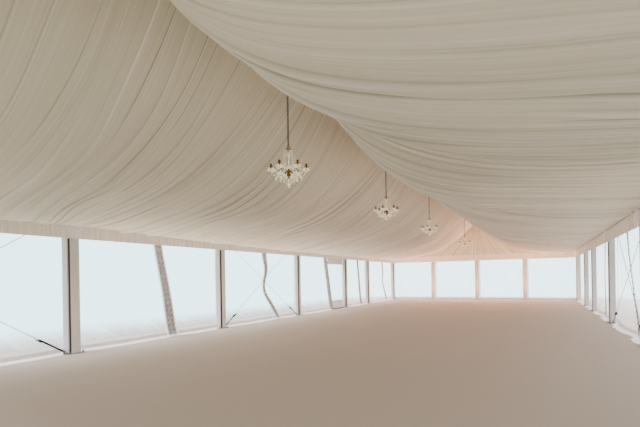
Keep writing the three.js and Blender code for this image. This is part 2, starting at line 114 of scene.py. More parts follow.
def new_material(name, **shader):
    """A material with one Principled shader. Its name says what the real one is and how it was made."""
    material = bpy.data.materials.new(name)
    material.use_nodes = True
    tree = material.node_tree
    tree.nodes.clear()
    surface = add(tree, "ShaderNodeBsdfPrincipled", {k.replace("_", " "): v for k, v in shader.items()})
    add(tree, "ShaderNodeOutputMaterial", {"Surface": surface})
    return material, tree, surface


MATH = "ShaderNodeMath"
NOISE = "ShaderNodeTexNoise"


def two_tones(tree, surface, pattern, dark, light, low=0.35, high=0.65):
    """Colours a surface between two tones by a pattern."""
    ramp = add(tree, "ShaderNodeValToRGB", [pattern])
    ramp.color_ramp.elements[0].position = low
    ramp.color_ramp.elements[0].color = linear(dark)
    ramp.color_ramp.elements[1].position = high
    ramp.color_ramp.elements[1].color = linear(light)
    tree.links.new(ramp.outputs[0], surface.inputs["Base Color"])
    return ramp


def bumped(tree, surface, height, distance, strength=1.0):
    """Gives a surface relief of a real depth in metres."""
    bump = add(tree, "ShaderNodeBump", {"Height": height, "Distance": distance, "Strength": strength})
    tree.links.new(bump.outputs[0], surface.inputs["Normal"])


def stretched(tree, source, scale, detail=2.0):
    """Noise on coordinates that are stretched, as streaks along a cloth or a rolled sheet."""
    mapping = add(tree, "ShaderNodeMapping", {"Vector": source, "Scale": scale})
    return add(tree, NOISE, {"Vector": mapping, "Scale": 1.0, "Detail": detail})


# Materials
def lining_cloth():
    # Ivory woven polyester lining, ruched: matt, with a soft sheen and faint streaks down the
    # pleats. A pleat's rolled lip is painted lighter, a painted highlight, and the crease beside
    # it is painted darker, a painted shade. The threads of 0.2 mm are too fine to show, so
    # the streaks are 10 to 40 mm wide.
    material, tree, surface = new_material(
        "woven_polyester_lining", Roughness=0.92, Sheen_Weight=0.15, Sheen_Roughness=0.5, IOR=1.5)
    surface.inputs["Specular IOR Level"].default_value = 0.25
    uv = add(tree, "ShaderNodeUVMap", uv_map="UVMap")
    broad = stretched(tree, uv, (5.0, 0.2, 1.0), 2.0)
    fine = stretched(tree, uv, (60.0, 0.7, 1.0), 1.0)
    blend = add(tree, MATH, [fine, 0.5, broad], operation="MULTIPLY_ADD")
    calm = add(tree, MATH, [blend, 0.3, 0.275], operation="MULTIPLY_ADD")
    # The pleats' painted highlights and painted shades, kept with the cloth's points
    fold = add(tree, "ShaderNodeAttribute", attribute_name="fold_shade")
    tone = add(tree, MATH, [fold.outputs["Fac"], 0.55, calm], operation="MULTIPLY_ADD")
    ramp = two_tones(tree, surface, tone, "#9a9784", "#fdfdf2", 0.1, 0.84)
    middle = ramp.color_ramp.elements.new(0.5)
    middle.color = linear("#dfdfcb")
    bumped(tree, surface, fine, 0.001, 0.4)
    return material


def drape_cloth(name, dark, light, painted_foot_light, painted_glow):
    # Woven polyester drape: matt, with a plain weave and soft vertical streaks. A gather's lip
    # is painted lighter and its crease darker, a painted highlight and a painted shade. Below
    # 1.9 m the cloth is painted paler and lilac towards its foot, which is painted light. It is
    # given a faint glow, painted light that stands in for light from outside through the cloth.
    # The weave is drawn at 3 mm, as the real 0.3 mm would not show.
    material, tree, surface = new_material(
        name, Roughness=0.9, Sheen_Weight=0.15, Sheen_Roughness=0.5, IOR=1.5, Emission_Strength=painted_glow)
    surface.inputs["Emission Color"].default_value = linear("#fbf4e6")
    surface.inputs["Specular IOR Level"].default_value = 0.25
    uv = add(tree, "ShaderNodeUVMap", uv_map="UVMap")
    streak = stretched(tree, uv, (12.0, 1.0, 1.0), 2.0)
    calm = add(tree, MATH, [streak, 0.4, 0.3], operation="MULTIPLY_ADD")
    fold = add(tree, "ShaderNodeAttribute", attribute_name="fold_shade")
    tone = add(tree, MATH, [fold.outputs["Fac"], 0.3, calm], operation="MULTIPLY_ADD")
    ramp = two_tones(tree, surface, tone, dark, light, 0.25, 0.75)
    place = add(tree, "ShaderNodeTexCoord")
    height = add(tree, "ShaderNodeSeparateXYZ", [place.outputs["Object"]])
    # Painted light: paler and lilac towards the floor, from 1.9 m down
    low = add(tree, "ShaderNodeMapRange", {"Value": height.outputs["Z"], "From Min": 0.1, "From Max": 1.9,
                                           "To Min": 0.9, "To Max": 0.0})
    tinted = add(tree, "ShaderNodeMix", {"Factor": low, 6: ramp, 7: linear(painted_foot_light)}, data_type="RGBA",
                 blend_type="MIX")
    tree.links.new(tinted.outputs[2], surface.inputs["Base Color"])
    weave = add(tree, "ShaderNodeTexChecker", {"Vector": uv, "Scale": 330.0})
    weave_share = add(tree, MATH, [weave.outputs["Fac"], 0.15, streak], operation="MULTIPLY_ADD")
    bumped(tree, surface, weave_share, 0.0015, 0.5)
    return material


def roof_sheet():
    # White PVC-coated polyester, calendered: satin, with a faint base weave and a little grime.
    material, tree, surface = new_material("calendered_pvc_coated_polyester", Roughness=0.42, IOR=1.5)
    place = add(tree, "ShaderNodeTexCoord")
    grime = add(tree, NOISE, {"Vector": place.outputs["Object"], "Scale": 0.9, "Detail": 5.0})
    two_tones(tree, surface, grime, "#e6e5df", "#f9f8f4", 0.3, 0.6)
    weave = add(tree, NOISE, {"Vector": place.outputs["Object"], "Scale": 160.0, "Detail": 1.0})
    bumped(tree, surface, weave, 0.0008, 0.5)
    return material


def clear_film():
    # Clear pressed PVC film, unrolled from storage: see-through and glossy. It is milky along
    # its diagonal creases, and more opaque where it is seen nearly edge on, a painted reflection.
    # Both are given a white glow, painted light that stands in for light it scatters from outside.
    material, tree, surface = new_material(
        "pressed_clear_pvc_film", Roughness=0.25, IOR=1.53, Transmission_Weight=0.35, Emission_Strength=1.7)
    surface.inputs["Base Color"].default_value = linear("#fafafe")
    surface.inputs["Emission Color"].default_value = linear("#f8fbff")
    uv = add(tree, "ShaderNodeUVMap", uv_map="UVMap")
    tilt = add(tree, "ShaderNodeMapping", {"Vector": uv, "Rotation": (0.0, 0.0, 0.7)})
    crease = stretched(tree, tilt, (0.9, 7.0, 1.0), 4.0)
    milky = add(tree, "ShaderNodeMapRange", {"Value": crease, "From Min": 0.5, "From Max": 0.72,
                                             "To Min": 0.06, "To Max": 0.38})
    # Painted reflection: more opaque and glowing where the film is seen nearly edge on
    edge_on = add(tree, "ShaderNodeLayerWeight", {"Blend": 0.35})
    painted_edge_reflection = add(tree, "ShaderNodeMapRange", {
        "Value": edge_on.outputs["Facing"], "From Min": 0.35, "From Max": 0.9, "To Min": 0.0, "To Max": 0.5})
    cover = add(tree, MATH, [milky, painted_edge_reflection], operation="ADD", use_clamp=True)
    tree.links.new(cover.outputs[0], surface.inputs["Alpha"])
    bumped(tree, surface, crease, 0.02, 0.5)
    return material


def coated_band(name, dark, light, painted_glow=0.0):
    # White or grey PVC-coated band, welded to the film's edge: satin, creased by folding, and
    # painted darker where its crumple is low, a painted shade in the hollows. It is given a
    # glow, painted light that stands in for light from outside through it, most on the thin white one.
    material, tree, surface = new_material(name, Roughness=0.5, IOR=1.5, Emission_Strength=painted_glow)
    surface.inputs["Emission Color"].default_value = linear("#f4f4fa")
    uv = add(tree, "ShaderNodeUVMap", uv_map="UVMap")
    crumple = add(tree, NOISE, {"Vector": uv, "Scale": 9.0, "Detail": 4.0})
    # Painted shade: darker where the crumple is low
    two_tones(tree, surface, crumple, dark, light, 0.35, 0.65)
    bumped(tree, surface, crumple, 0.012, 0.6)
    return material


def grained(name, tones, grain, relief, strength, detail=3.0, spread=(0.3, 0.7), **shader):
    """A hard surface in two close tones, by a fine grain that also gives its relief in metres."""
    material, tree, surface = new_material(name, **shader)
    place = add(tree, "ShaderNodeTexCoord")
    spots = add(tree, NOISE, {"Vector": place.outputs["Object"], "Scale": grain, "Detail": detail})
    two_tones(tree, surface, spots, *tones, *spread)
    bumped(tree, surface, spots, relief, strength)
    return material


def purlin_aluminium(hook_below):
    # The ridge purlin's extruded aluminium, with blackened forged shackles below it.
    material, tree, surface = new_material(
        "extruded_aluminium_with_forged_shackles", Metallic=0.9, Roughness=0.45)
    place = add(tree, "ShaderNodeTexCoord")
    split = add(tree, "ShaderNodeSeparateXYZ", [place.outputs["Object"]])
    high = add(tree, MATH, [split.outputs["Z"], hook_below], operation="GREATER_THAN")
    two_tones(tree, surface, high, "#2a2522", "#b0b4b6", 0.4, 0.6)
    grain = add(tree, NOISE, {"Vector": place.outputs["Object"], "Scale": 180.0, "Detail": 3.0})
    bumped(tree, surface, grain, 0.0008, 0.5)
    return material


def metal(name, dark, light, roughness, metallic=0.9, grain=220.0):
    # Turned, forged or galvanised metal: its casting, plating or age shows as a fine grain.
    return grained(name, (dark, light), grain, 0.0005, 0.5, Metallic=metallic, Roughness=roughness)


def webbing(name, dark, light):
    # Woven polyester webbing or cord: matt, with ribs across it, drawn at 4 mm.
    material, tree, surface = new_material(name, Roughness=0.85, IOR=1.5)
    place = add(tree, "ShaderNodeTexCoord")
    ribs = add(tree, "ShaderNodeTexWave", {
        "Vector": place.outputs["Object"], "Scale": 60.0, "Distortion": 1.5})
    two_tones(tree, surface, ribs, dark, light, 0.2, 0.8)
    bumped(tree, surface, ribs, 0.001, 0.6)
    return material


def cut_crystal_painted_glow():
    # Pressed and polished lead glass. It is given a glow, painted light that stands in for the
    # windows' light it gathers, so it looks brighter than the cloth behind it, and patches of dark
    # olive gold in its colour and glow, painted shade and painted reflections of the brass.
    material, tree, surface = new_material("cut_crystal_painted_glow", Roughness=0.05, IOR=1.54, Emission_Strength=0.7)
    place = add(tree, "ShaderNodeTexCoord")
    spots = add(tree, NOISE, {"Vector": place.outputs["Object"], "Scale": 90.0, "Detail": 1.0})
    # Dark olive-gold patches: painted shade and painted reflections of the brass
    ramp = two_tones(tree, surface, spots, "#6b5a1e", "#fff9d8", 0.4, 0.52)
    tree.links.new(ramp.outputs[0], surface.inputs["Emission Color"])
    return material


# Mill-finish extruded aluminium: soft grey metal with drawn lines along the profile
ALUMINIUM = grained("extruded_aluminium", ("#9ea2a5", "#bdc1c3"), 40.0, 0.0006, 0.4, spread=(0.35, 0.65),
                    Metallic=0.9, Roughness=0.42)
LINING = lining_cloth()
# The last number of each drape and band is a glow, painted light that stands in for light from outside
# through it
VALANCE_CLOTH = drape_cloth("gathered_woven_valance", "#d3c9bb", "#fffaee", "#f0e9de", 0.12)
LEG_CLOTH = drape_cloth("flat_woven_leg_drape", "#bfc4c0", "#d9dddc", "#efecf5", 0.03)
CUFF_CLOTH = drape_cloth("satin_woven_cuff", "#e9e5ec", "#f9f6fc", "#f0ecf4", 0.04)
ROOF = roof_sheet()
FILM = clear_film()
WHITE_BAND = coated_band("white_pvc_coated_border", "#efefef", "#fdfdfc", 0.8)
HEM_BAND = coated_band("grey_pvc_coated_hem", "#e0d4de", "#f6ebf3", 0.22)
SEAM_BAND = coated_band("laced_pvc_coated_seam", "#a0a5ac", "#c0c7d0", 0.03)
HEADER_BAND = coated_band("grey_pvc_coated_header", "#cfccd0", "#e9e6ea", 0.1)
STEEL = metal("galvanised_steel", "#7d8184", "#a6aaac", 0.5, 0.85, 60.0)
CABLE = metal("stranded_steel_cable", "#6c6f72", "#a9acae", 0.45, 0.8, 300.0)
BLACK_STRAP = webbing("black_polyester_webbing", "#0d0d0e", "#1d1c1d")
SHADE_DARK_CLOTH = webbing("dark_cloth_for_painted_shade", "#3b3830", "#4f4a3f")
# A dark cloth used only as painted shade: the strip inside each sleeve's opening and the painted shadow along
# each valance's top
GREY_LACE = webbing("grey_polyester_lace", "#77716c", "#948e89")
RATCHET = metal("blackened_ratchet_steel", "#1c1c1d", "#38383a", 0.45, 0.7)
DARK_BRASS = metal("dark_cast_brass", "#5a4217", "#967229", 0.5, 0.7)
IRON_CHAIN = metal("bronzed_iron_chain", "#1f1712", "#3a2b21", 0.5, 0.7)
CRYSTAL = cut_crystal_painted_glow()
# Moulded ivory candle tubes: smooth and waxy, in two close ivories
WAX = grained("moulded_candle_tube", ("#d9cda6", "#efe6c8"), 60.0, 0.0006, 0.4, 2.0, Roughness=0.45, IOR=1.45)


# Meshes
def new_object(name, mesh, material):
    obj = bpy.data.objects.new(name, mesh)
    mesh.name = name
    bpy.context.scene.collection.objects.link(obj)
    mesh.materials.clear()
    mesh.materials.append(material)
    return obj


def stacked(*parts):
    """Coordinates that belong together, side by side along the last axis."""
    return np.stack(np.broadcast_arrays(*parts), axis=-1)


def flipped(*grids):
    """The same rows of points, UVs or shades in the other direction, so that a sheet faces the other way."""
    return [grid[:, ::-1] for grid in grids]


def grid_mesh(name, points, uv):
    """A sheet from rows of points, with a UV map in metres."""
    rows, columns = points.shape[:2]
    index = np.arange(rows * columns).reshape(rows, columns)
    corners = [index[:-1, :-1], index[:-1, 1:], index[1:, 1:], index[1:, :-1]]
    quads = np.stack(corners, axis=-1).reshape(-1, 4)
    mesh = bpy.data.meshes.new(name)
    mesh.from_pydata(points.reshape(-1, 3).tolist(), [], quads.tolist())
    layer = mesh.uv_layers.new(name="UVMap")
    layer.data.foreach_set("uv", uv.reshape(-1, 2)[quads.reshape(-1)].astype(np.float32).ravel())
    mesh.polygons.foreach_set("use_smooth", [True] * len(quads))
    return mesh


def with_painted_shade(mesh, shade):
    """Keeps a painted shade for each point: a painted highlight on a pleat's lip, painted shade in the crease
    beside it.
    """
    layer = mesh.attributes.new("fold_shade", "FLOAT", "POINT")
    layer.data.foreach_set("value", np.ascontiguousarray(shade, dtype=np.float32).ravel())
    return mesh


def merged(mesh, distance=1e-5):
    """The same mesh with its doubled points joined, facing outwards."""
    shape = bmesh.new()
    shape.from_mesh(mesh)
    bmesh.ops.remove_doubles(shape, verts=shape.verts, dist=distance)
    bmesh.ops.recalc_face_normals(shape, faces=shape.faces)
    shape.to_mesh(mesh)
    shape.free()
    return mesh


def joined_mesh(name, meshes):
    """Several meshes as one."""
    shape = bmesh.new()
    for mesh in meshes:
        shape.from_mesh(mesh)
    whole = bpy.data.meshes.new(name)
    shape.to_mesh(whole)
    shape.free()
    return whole


def turned_mesh(name, profile, sides):
    """A turned piece about the Z axis, from its outline of (radius, height) from the bottom up."""
    angles = np.linspace(0, 2 * math.pi, sides + 1)
    radius = np.array([p[0] for p in profile])[:, None]
    height = np.array([p[1] for p in profile])[:, None]
    points = stacked(radius * np.cos(angles), radius * np.sin(angles), height)
    uv = stacked(angles * 0.05, height)
    return merged(grid_mesh(name, points, uv))


def tube_mesh(name, path, radius, sides=10, closed=False):
    """A round bar along a list of points, with closed ends or closed on itself."""
    path = np.array(path, float)
    radii = np.broadcast_to(np.array(radius, float), len(path))
    ahead = np.roll(path, -1, axis=0) - np.roll(path, 1, axis=0)
    if not closed:
        ahead[0] = path[1] - path[0]
        ahead[-1] = path[-1] - path[-2]
    ahead /= np.linalg.norm(ahead, axis=1)[:, None]
    side = np.cross(ahead[0], [0.0, 0.0, 1.0] if abs(ahead[0][2]) < 0.9 else [1.0, 0.0, 0.0])
    angles = np.linspace(0, 2 * math.pi, sides, endpoint=False)
    vertices = []
    for place, direction, r in zip(path, ahead, radii):
        side = side - direction * side.dot(direction)
        side /= np.linalg.norm(side)
        up = np.cross(direction, side)
        vertices += [place + r * (math.cos(a) * side + math.sin(a) * up) for a in angles]
    loops = len(path)
    faces = []
    for i in range(loops if closed else loops - 1):
        here, there = i * sides, (i + 1) % loops * sides
        for j in range(sides):
            k = (j + 1) % sides
            faces.append([here + j, here + k, there + k, there + j])
    if not closed:
        faces.append(list(range(sides))[::-1])
        faces.append([(loops - 1) * sides + j for j in range(sides)])
    mesh = bpy.data.meshes.new(name)
    mesh.from_pydata([list(v) for v in vertices], [], faces)
    mesh.polygons.foreach_set("use_smooth", [True] * len(faces))
    return mesh


def soft_box_mesh(name, low, high, round_off=0.003):
    """A box with rounded edges between two corners."""
    shape = bmesh.new()
    bmesh.ops.create_cube(shape, size=1.0)
    low, high = Vector(low), Vector(high)
    for vert in shape.verts:
        vert.co = Vector((low[i] + (vert.co[i] + 0.5) * (high[i] - low[i]) for i in range(3)))
    bmesh.ops.bevel(shape, geom=shape.edges[:], offset=round_off, segments=2, affect="EDGES")
    mesh = bpy.data.meshes.new(name)
    shape.to_mesh(mesh)
    shape.free()
    return mesh


def moved(mesh, matrix):
    mesh.transform(matrix)
    return mesh


def smooth_step(value, low, high):
    share = np.clip((value - low) / (high - low), 0, 1)
    return share * share * (3 - 2 * share)


class Ripple:
    """Smooth uneven waves: a sum of sines with seeded wavelengths and phases."""

    def __init__(self, seed, shortest, longest, count=6):
        rng = np.random.default_rng(seed)
        self.turns = 2 * math.pi / rng.uniform(shortest, longest, count)
        self.phases = rng.uniform(0, 2 * math.pi, count)
        self.sizes = rng.uniform(0.5, 1.0, count) / count

    def __call__(self, place):
        place = np.asarray(place, float)
        waves = np.sin(place[..., None] * self.turns + self.phases)
        return (waves * self.sizes).sum(axis=-1)


# Geometry Nodes
FLOAT = "NodeSocketFloat"
INT = "NodeSocketInt"
VECTOR = "NodeSocketVector"
MATERIAL = "NodeSocketMaterial"
GEOMETRY = "NodeSocketGeometry"


def new_tree(name, vectors=(), floats=(), whole=()):
    """A Geometry Nodes tree with named inputs of each kind, and the sockets that give them."""
    tree = bpy.data.node_groups.new(name, "GeometryNodeTree")
    tree.interface.new_socket("Geometry", in_out="OUTPUT", socket_type=GEOMETRY)
    tree.interface.new_socket("Geometry", in_out="INPUT", socket_type=GEOMETRY)
    tree.interface.new_socket("Material", in_out="INPUT", socket_type=MATERIAL)
    for kind, labels in ((VECTOR, vectors), (FLOAT, floats), (INT, whole)):
        for label in labels:
            tree.interface.new_socket(label, in_out="INPUT", socket_type=kind)
    return tree, add(tree, "NodeGroupInput").outputs


def painted(tree, given, shape):
    """Ends a tree: makes its copies real, and gives the shape its material."""
    real = add(tree, "GeometryNodeRealizeInstances", {"Geometry": shape})
    paint = add(tree, "GeometryNodeSetMaterial", {"Geometry": real, "Material": given["Material"]})
    add(tree, "NodeGroupOutput", {"Geometry": paint})
    return tree


def kept_with(tree, sheet, uv, **fields):
    """Keeps a UV map in metres, and other numbers by name, with the points of a sheet."""
    kept = add(tree, "GeometryNodeStoreNamedAttribute", {"Geometry": sheet, "Name": "UVMap", "Value": uv},
               data_type="FLOAT2", domain="CORNER")
    for label, value in fields.items():
        kept = add(tree, "GeometryNodeStoreNamedAttribute", {"Geometry": kept, "Name": label, "Value": value},
                   data_type="FLOAT", domain="POINT")
    return kept


def made_by(tree, name, values, start=None):
    """The plain mesh object that a tree makes from its named inputs."""
    obj = new_object(name, start.copy() if start else bpy.data.meshes.new(name), values["Material"])
    modifier = obj.modifiers.new("shape", "NODES")
    modifier.node_group = tree
    for socket in tree.interface.items_tree:
        if socket.in_out == "INPUT" and socket.name in values:
            modifier[socket.identifier] = values[socket.name]
    graph = bpy.context.evaluated_depsgraph_get()
    mesh = bpy.data.meshes.new_from_object(
        obj.evaluated_get(graph), preserve_all_data_layers=True, depsgraph=graph)
    obj.modifiers.clear()
    obj.data = mesh
    mesh.name = name
    return obj


def copies_tree():
    """Copies of a small piece along a line that may sag, each turned a little more than the last."""
    tree, given = new_tree("copies_along_a_line", vectors=["Start", "Middle", "End"], floats=["Turn Each"],
                           whole=["Count"])
    line = add(tree, "GeometryNodeCurveQuadraticBezier", {
        "Resolution": 24, "Start": given["Start"], "Middle": given["Middle"], "End": given["End"]})
    places = add(tree, "GeometryNodeCurveToPoints", {"Curve": line, "Count": given["Count"]}, mode="COUNT")
    along = add(tree, "FunctionNodeAlignRotationToVector", {"Vector": places.outputs["Tangent"]}, axis="Z")
    number = add(tree, "GeometryNodeInputIndex")
    angle = add(tree, MATH, [number, given["Turn Each"]], operation="MULTIPLY")
    spin = add(tree, "FunctionNodeAxisAngleToRotation", {"Axis": (0.0, 0.0, 1.0), "Angle": angle})
    turn = add(tree, "FunctionNodeRotateRotation", {"Rotation": along, "Rotate By": spin},
               rotation_space="LOCAL")
    copies = add(tree, "GeometryNodeInstanceOnPoints", {
        "Points": places.outputs["Points"], "Instance": given["Geometry"], "Rotation": turn})
    return painted(tree, given, copies)


# A pleat's rolled lip stands up by this share of its spacing, and its crease is painted this dark, a painted
# shade
LIP_ROLL = 0.35
CREASE_PAINTED_SHADE = 0.75


def fold_layer(tree, turns, lip_width):
    """One layer of overlapping pleats: their height, high at a rolled lip and falling away to the
    next one, their painted shade, a painted highlight on the lip and painted shade in the crease
    before it, and their middles."""
    cell, edge = (add(tree, "ShaderNodeTexVoronoi", {"W": turns, "Scale": 1.0}, voronoi_dimensions="1D",
                      feature=feature) for feature in ("F1", "DISTANCE_TO_EDGE"))
    way = add(tree, MATH, [turns, cell.outputs["W"]], operation="SUBTRACT")
    chance = add(tree, "ShaderNodeSeparateXYZ", [cell.outputs["Color"]])
    size = add(tree, MATH, [chance.outputs["X"], 0.75, 0.25], operation="MULTIPLY_ADD")
    near = add(tree, "ShaderNodeMapRange", {
        "Value": edge.outputs["Distance"], "From Min": 0.0, "From Max": lip_width, "To Min": 1.0,
        "To Max": 0.0}, interpolation_type="SMOOTHSTEP")
    at_start = add(tree, MATH, [way, 0.0], operation="LESS_THAN")
    lip = add(tree, MATH, [near, at_start], operation="MULTIPLY")
    crease = add(tree, MATH, [near, lip], operation="SUBTRACT")
    rolled = add(tree, MATH, [lip, LIP_ROLL], operation="MULTIPLY")
    fall = add(tree, MATH, [way, -1.0, rolled], operation="MULTIPLY_ADD")
    height = add(tree, MATH, [fall, size], operation="MULTIPLY")
    shade = add(tree, MATH, [crease, -CREASE_PAINTED_SHADE, lip], operation="MULTIPLY_ADD")
    sized = add(tree, MATH, [shade, size], operation="MULTIPLY")
    return height, sized, cell.outputs["W"]


def gathered_tree():
    """A strip of cloth gathered along its top edge, hanging down from a straight line along Y."""
    tree, given = new_tree(
        "gathered_strip", floats=["Length", "Height", "Pleat Spacing", "Pleat Depth", "Seed"],
        whole=["Columns", "Rows"])
    grid = add(tree, "GeometryNodeMeshGrid", {
        "Size X": 1.0, "Size Y": 1.0, "Vertices X": given["Rows"], "Vertices Y": given["Columns"]})
    place = add(tree, "GeometryNodeInputPosition")
    split = add(tree, "ShaderNodeSeparateXYZ", [place])
    share = add(tree, MATH, [split.outputs["Y"], 0.5], operation="ADD")
    below = add(tree, MATH, [0.5, split.outputs["X"]], operation="SUBTRACT")
    run = add(tree, MATH, [share, given["Length"]], operation="MULTIPLY")
    drop = add(tree, MATH, [below, given["Height"]], operation="MULTIPLY")
    # Each gather leans a little on its way down, and opens towards the free edge
    run_waves = add(tree, MATH, [run, 5.0], operation="MULTIPLY")
    drop_waves = add(tree, MATH, [drop, 4.0], operation="MULTIPLY")
    leaning = add(tree, "ShaderNodeCombineXYZ", [run_waves, drop_waves, given["Seed"]])
    uneven = add(tree, NOISE, {"Vector": leaning, "Scale": 1.0, "Detail": 1.0})
    lean = add(tree, MATH, [uneven, 0.04, run], operation="MULTIPLY_ADD")
    seeded = add(tree, MATH, [lean, given["Seed"]], operation="ADD")
    turns = add(tree, MATH, [seeded, given["Pleat Spacing"]], operation="DIVIDE")
    # The gathers' painted shade: a painted highlight on each lip and painted shade in each crease
    height, shade = fold_layer(tree, turns, 0.25)[:2]
    depth = add(tree, MATH, [height, given["Pleat Depth"]], operation="MULTIPLY")
    open_out = add(tree, "ShaderNodeMapRange", {"Value": below, "To Min": 0.7, "To Max": 1.2})
    pushed = add(tree, MATH, [depth, open_out], operation="MULTIPLY")
    fall = add(tree, MATH, [drop, -1.0], operation="MULTIPLY")
    flat = add(tree, "ShaderNodeCombineXYZ", [run, drop])
    kept = kept_with(tree, grid.outputs["Mesh"], flat, fold_shade=shade)
    hang_at = add(tree, "ShaderNodeCombineXYZ", [pushed, run, fall])
    hung = add(tree, "GeometryNodeSetPosition", {"Geometry": kept, "Position": hang_at})
    return painted(tree, given, add(tree, "GeometryNodeSetShadeSmooth", {"Geometry": hung}))


def lining_tree():
    """One bay of ruched ceiling lining. Its height falls from the ridge as (1 - s) to a power,
    s being the way from ridge to eave, and the power grows to the middle of the bay."""
    tree, given = new_tree("pleated_lining", floats=[
        "Half Width", "Start", "Length", "Eave Height", "Rise", "Power At Frames", "Power Gain",
        "Belly At Start", "Belly At End", "Belly Gain", "Right Belly Share", "Fold Depth", "Folds Per Metre",
        "Lip", "Fine Share", "Drift", "Sweep", "Seed"], whole=["Columns", "Rows"])
    grid = add(tree, "GeometryNodeMeshGrid", {
        "Size X": 2.0, "Size Y": 1.0, "Vertices X": given["Rows"], "Vertices Y": given["Columns"]})
    place = add(tree, "GeometryNodeInputPosition")
    split = add(tree, "ShaderNodeSeparateXYZ", [place])
    # The way from ridge to eave, with rows closer together at both ends
    way = add(tree, MATH, [split.outputs["X"]], operation="ABSOLUTE")
    turned = add(tree, MATH, [way, math.pi], operation="MULTIPLY")
    wave = add(tree, MATH, [turned], operation="COSINE")
    bend = add(tree, MATH, [wave, -0.25, 0.25], operation="MULTIPLY_ADD")
    s = add(tree, MATH, [way, 0.5, bend], operation="MULTIPLY_ADD")
    side = add(tree, MATH, [split.outputs["X"]], operation="SIGN")
    reach = add(tree, MATH, [s, given["Half Width"]], operation="MULTIPLY")
    x = add(tree, MATH, [reach, side], operation="MULTIPLY")
    # The way along the bay, the slack that it gives, and how far the pleats drift there and
    # sweep towards the far frame on their way down
    along = add(tree, MATH, [split.outputs["Y"], 0.5], operation="ADD")
    run = add(tree, MATH, [along, given["Length"], given["Start"]], operation="MULTIPLY_ADD")
    half_turn = add(tree, MATH, [along, math.pi], operation="MULTIPLY")
    slack = add(tree, MATH, [half_turn], operation="SINE")
    run_waves = add(tree, MATH, [run, 1.1], operation="MULTIPLY")
    side_waves = add(tree, MATH, [x, 0.4], operation="MULTIPLY")
    spot = add(tree, "ShaderNodeCombineXYZ", [run_waves, side_waves, given["Seed"]])
    uneven = add(tree, NOISE, {"Vector": spot, "Scale": 1.0, "Detail": 1.0})
    wander = add(tree, MATH, [uneven, 0.5], operation="SUBTRACT")
    drift = add(tree, MATH, [wander, given["Drift"]], operation="MULTIPLY")
    lower = add(tree, MATH, [s, s], operation="MULTIPLY")
    shift = add(tree, MATH, [lower, given["Sweep"], drift], operation="MULTIPLY_ADD")
    y = add(tree, MATH, [shift, slack, run], operation="MULTIPLY_ADD")
    power = add(tree, MATH, [slack, given["Power Gain"], given["Power At Frames"]], operation="MULTIPLY_ADD")
    left = add(tree, MATH, [1.0, s], operation="SUBTRACT", use_clamp=True)
    fall = add(tree, MATH, [left, power], operation="POWER")
    height = add(tree, MATH, [fall, given["Rise"], given["Eave Height"]], operation="MULTIPLY_ADD")
    # A belly just inside the eave, which hangs in front of the valance
    swell = add(tree, "ShaderNodeMapRange", {"Value": s, "From Min": 0.55, "From Max": 0.93},
                interpolation_type="SMOOTHSTEP")
    tuck = add(tree, "ShaderNodeMapRange", {
        "Value": s, "From Min": 0.955, "From Max": 0.982, "To Min": 1.0, "To Max": 0.0},
               interpolation_type="SMOOTHSTEP")
    belly = add(tree, MATH, [swell, tuck], operation="MULTIPLY")
    side_share = add(tree, "ShaderNodeMapRange", {
        "Value": side, "From Min": -1.0, "From Max": 1.0,
        "To Min": 1.0, "To Max": given["Right Belly Share"]})
    between = add(tree, "ShaderNodeMapRange", {
        "Value": along, "To Min": given["Belly At Start"], "To Max": given["Belly At End"]})
    deepest = add(tree, MATH, [slack, given["Belly Gain"], between], operation="MULTIPLY_ADD")
    belly_here = add(tree, MATH, [belly, side_share], operation="MULTIPLY")
    belly_drop = add(tree, MATH, [belly_here, deepest], operation="MULTIPLY")
    z = add(tree, MATH, [height, belly_drop], operation="SUBTRACT")
    # Main pleats and finer ones between them, each fading and coming back on its way down
    seeded = add(tree, MATH, [run, given["Seed"]], operation="ADD")
    turns = add(tree, MATH, [seeded, given["Folds Per Metre"]], operation="MULTIPLY")
    fine_turns = add(tree, MATH, [turns, 2.6], operation="MULTIPLY")
    lip = add(tree, MATH, [given["Lip"], given["Folds Per Metre"]], operation="MULTIPLY")
    down_waves = add(tree, MATH, [x, 0.5], operation="MULTIPLY")
    layers = []
    for layer_turns, layer_lip, spread, share in (
            (turns, lip, 3.7, 1.0), (fine_turns, 0.25, 1.3, given["Fine Share"])):
        folds, tones, middles = fold_layer(tree, layer_turns, layer_lip)
        each = add(tree, MATH, [middles, spread], operation="MULTIPLY")
        fading = add(tree, "ShaderNodeCombineXYZ", [each, down_waves, given["Seed"]])
        clouds = add(tree, NOISE, {"Vector": fading, "Scale": 1.0, "Detail": 0.0})
        fade = add(tree, "ShaderNodeMapRange", {
            "Value": clouds, "From Min": 0.35, "From Max": 0.55, "To Min": 0.15, "To Max": 1.0})
        shown = add(tree, MATH, [fade, share], operation="MULTIPLY")
        layers.append([add(tree, MATH, [part, shown], operation="MULTIPLY") for part in (folds, tones)])
    both, shade = (add(tree, MATH, [main, fine], operation="ADD") for main, fine in zip(*layers))
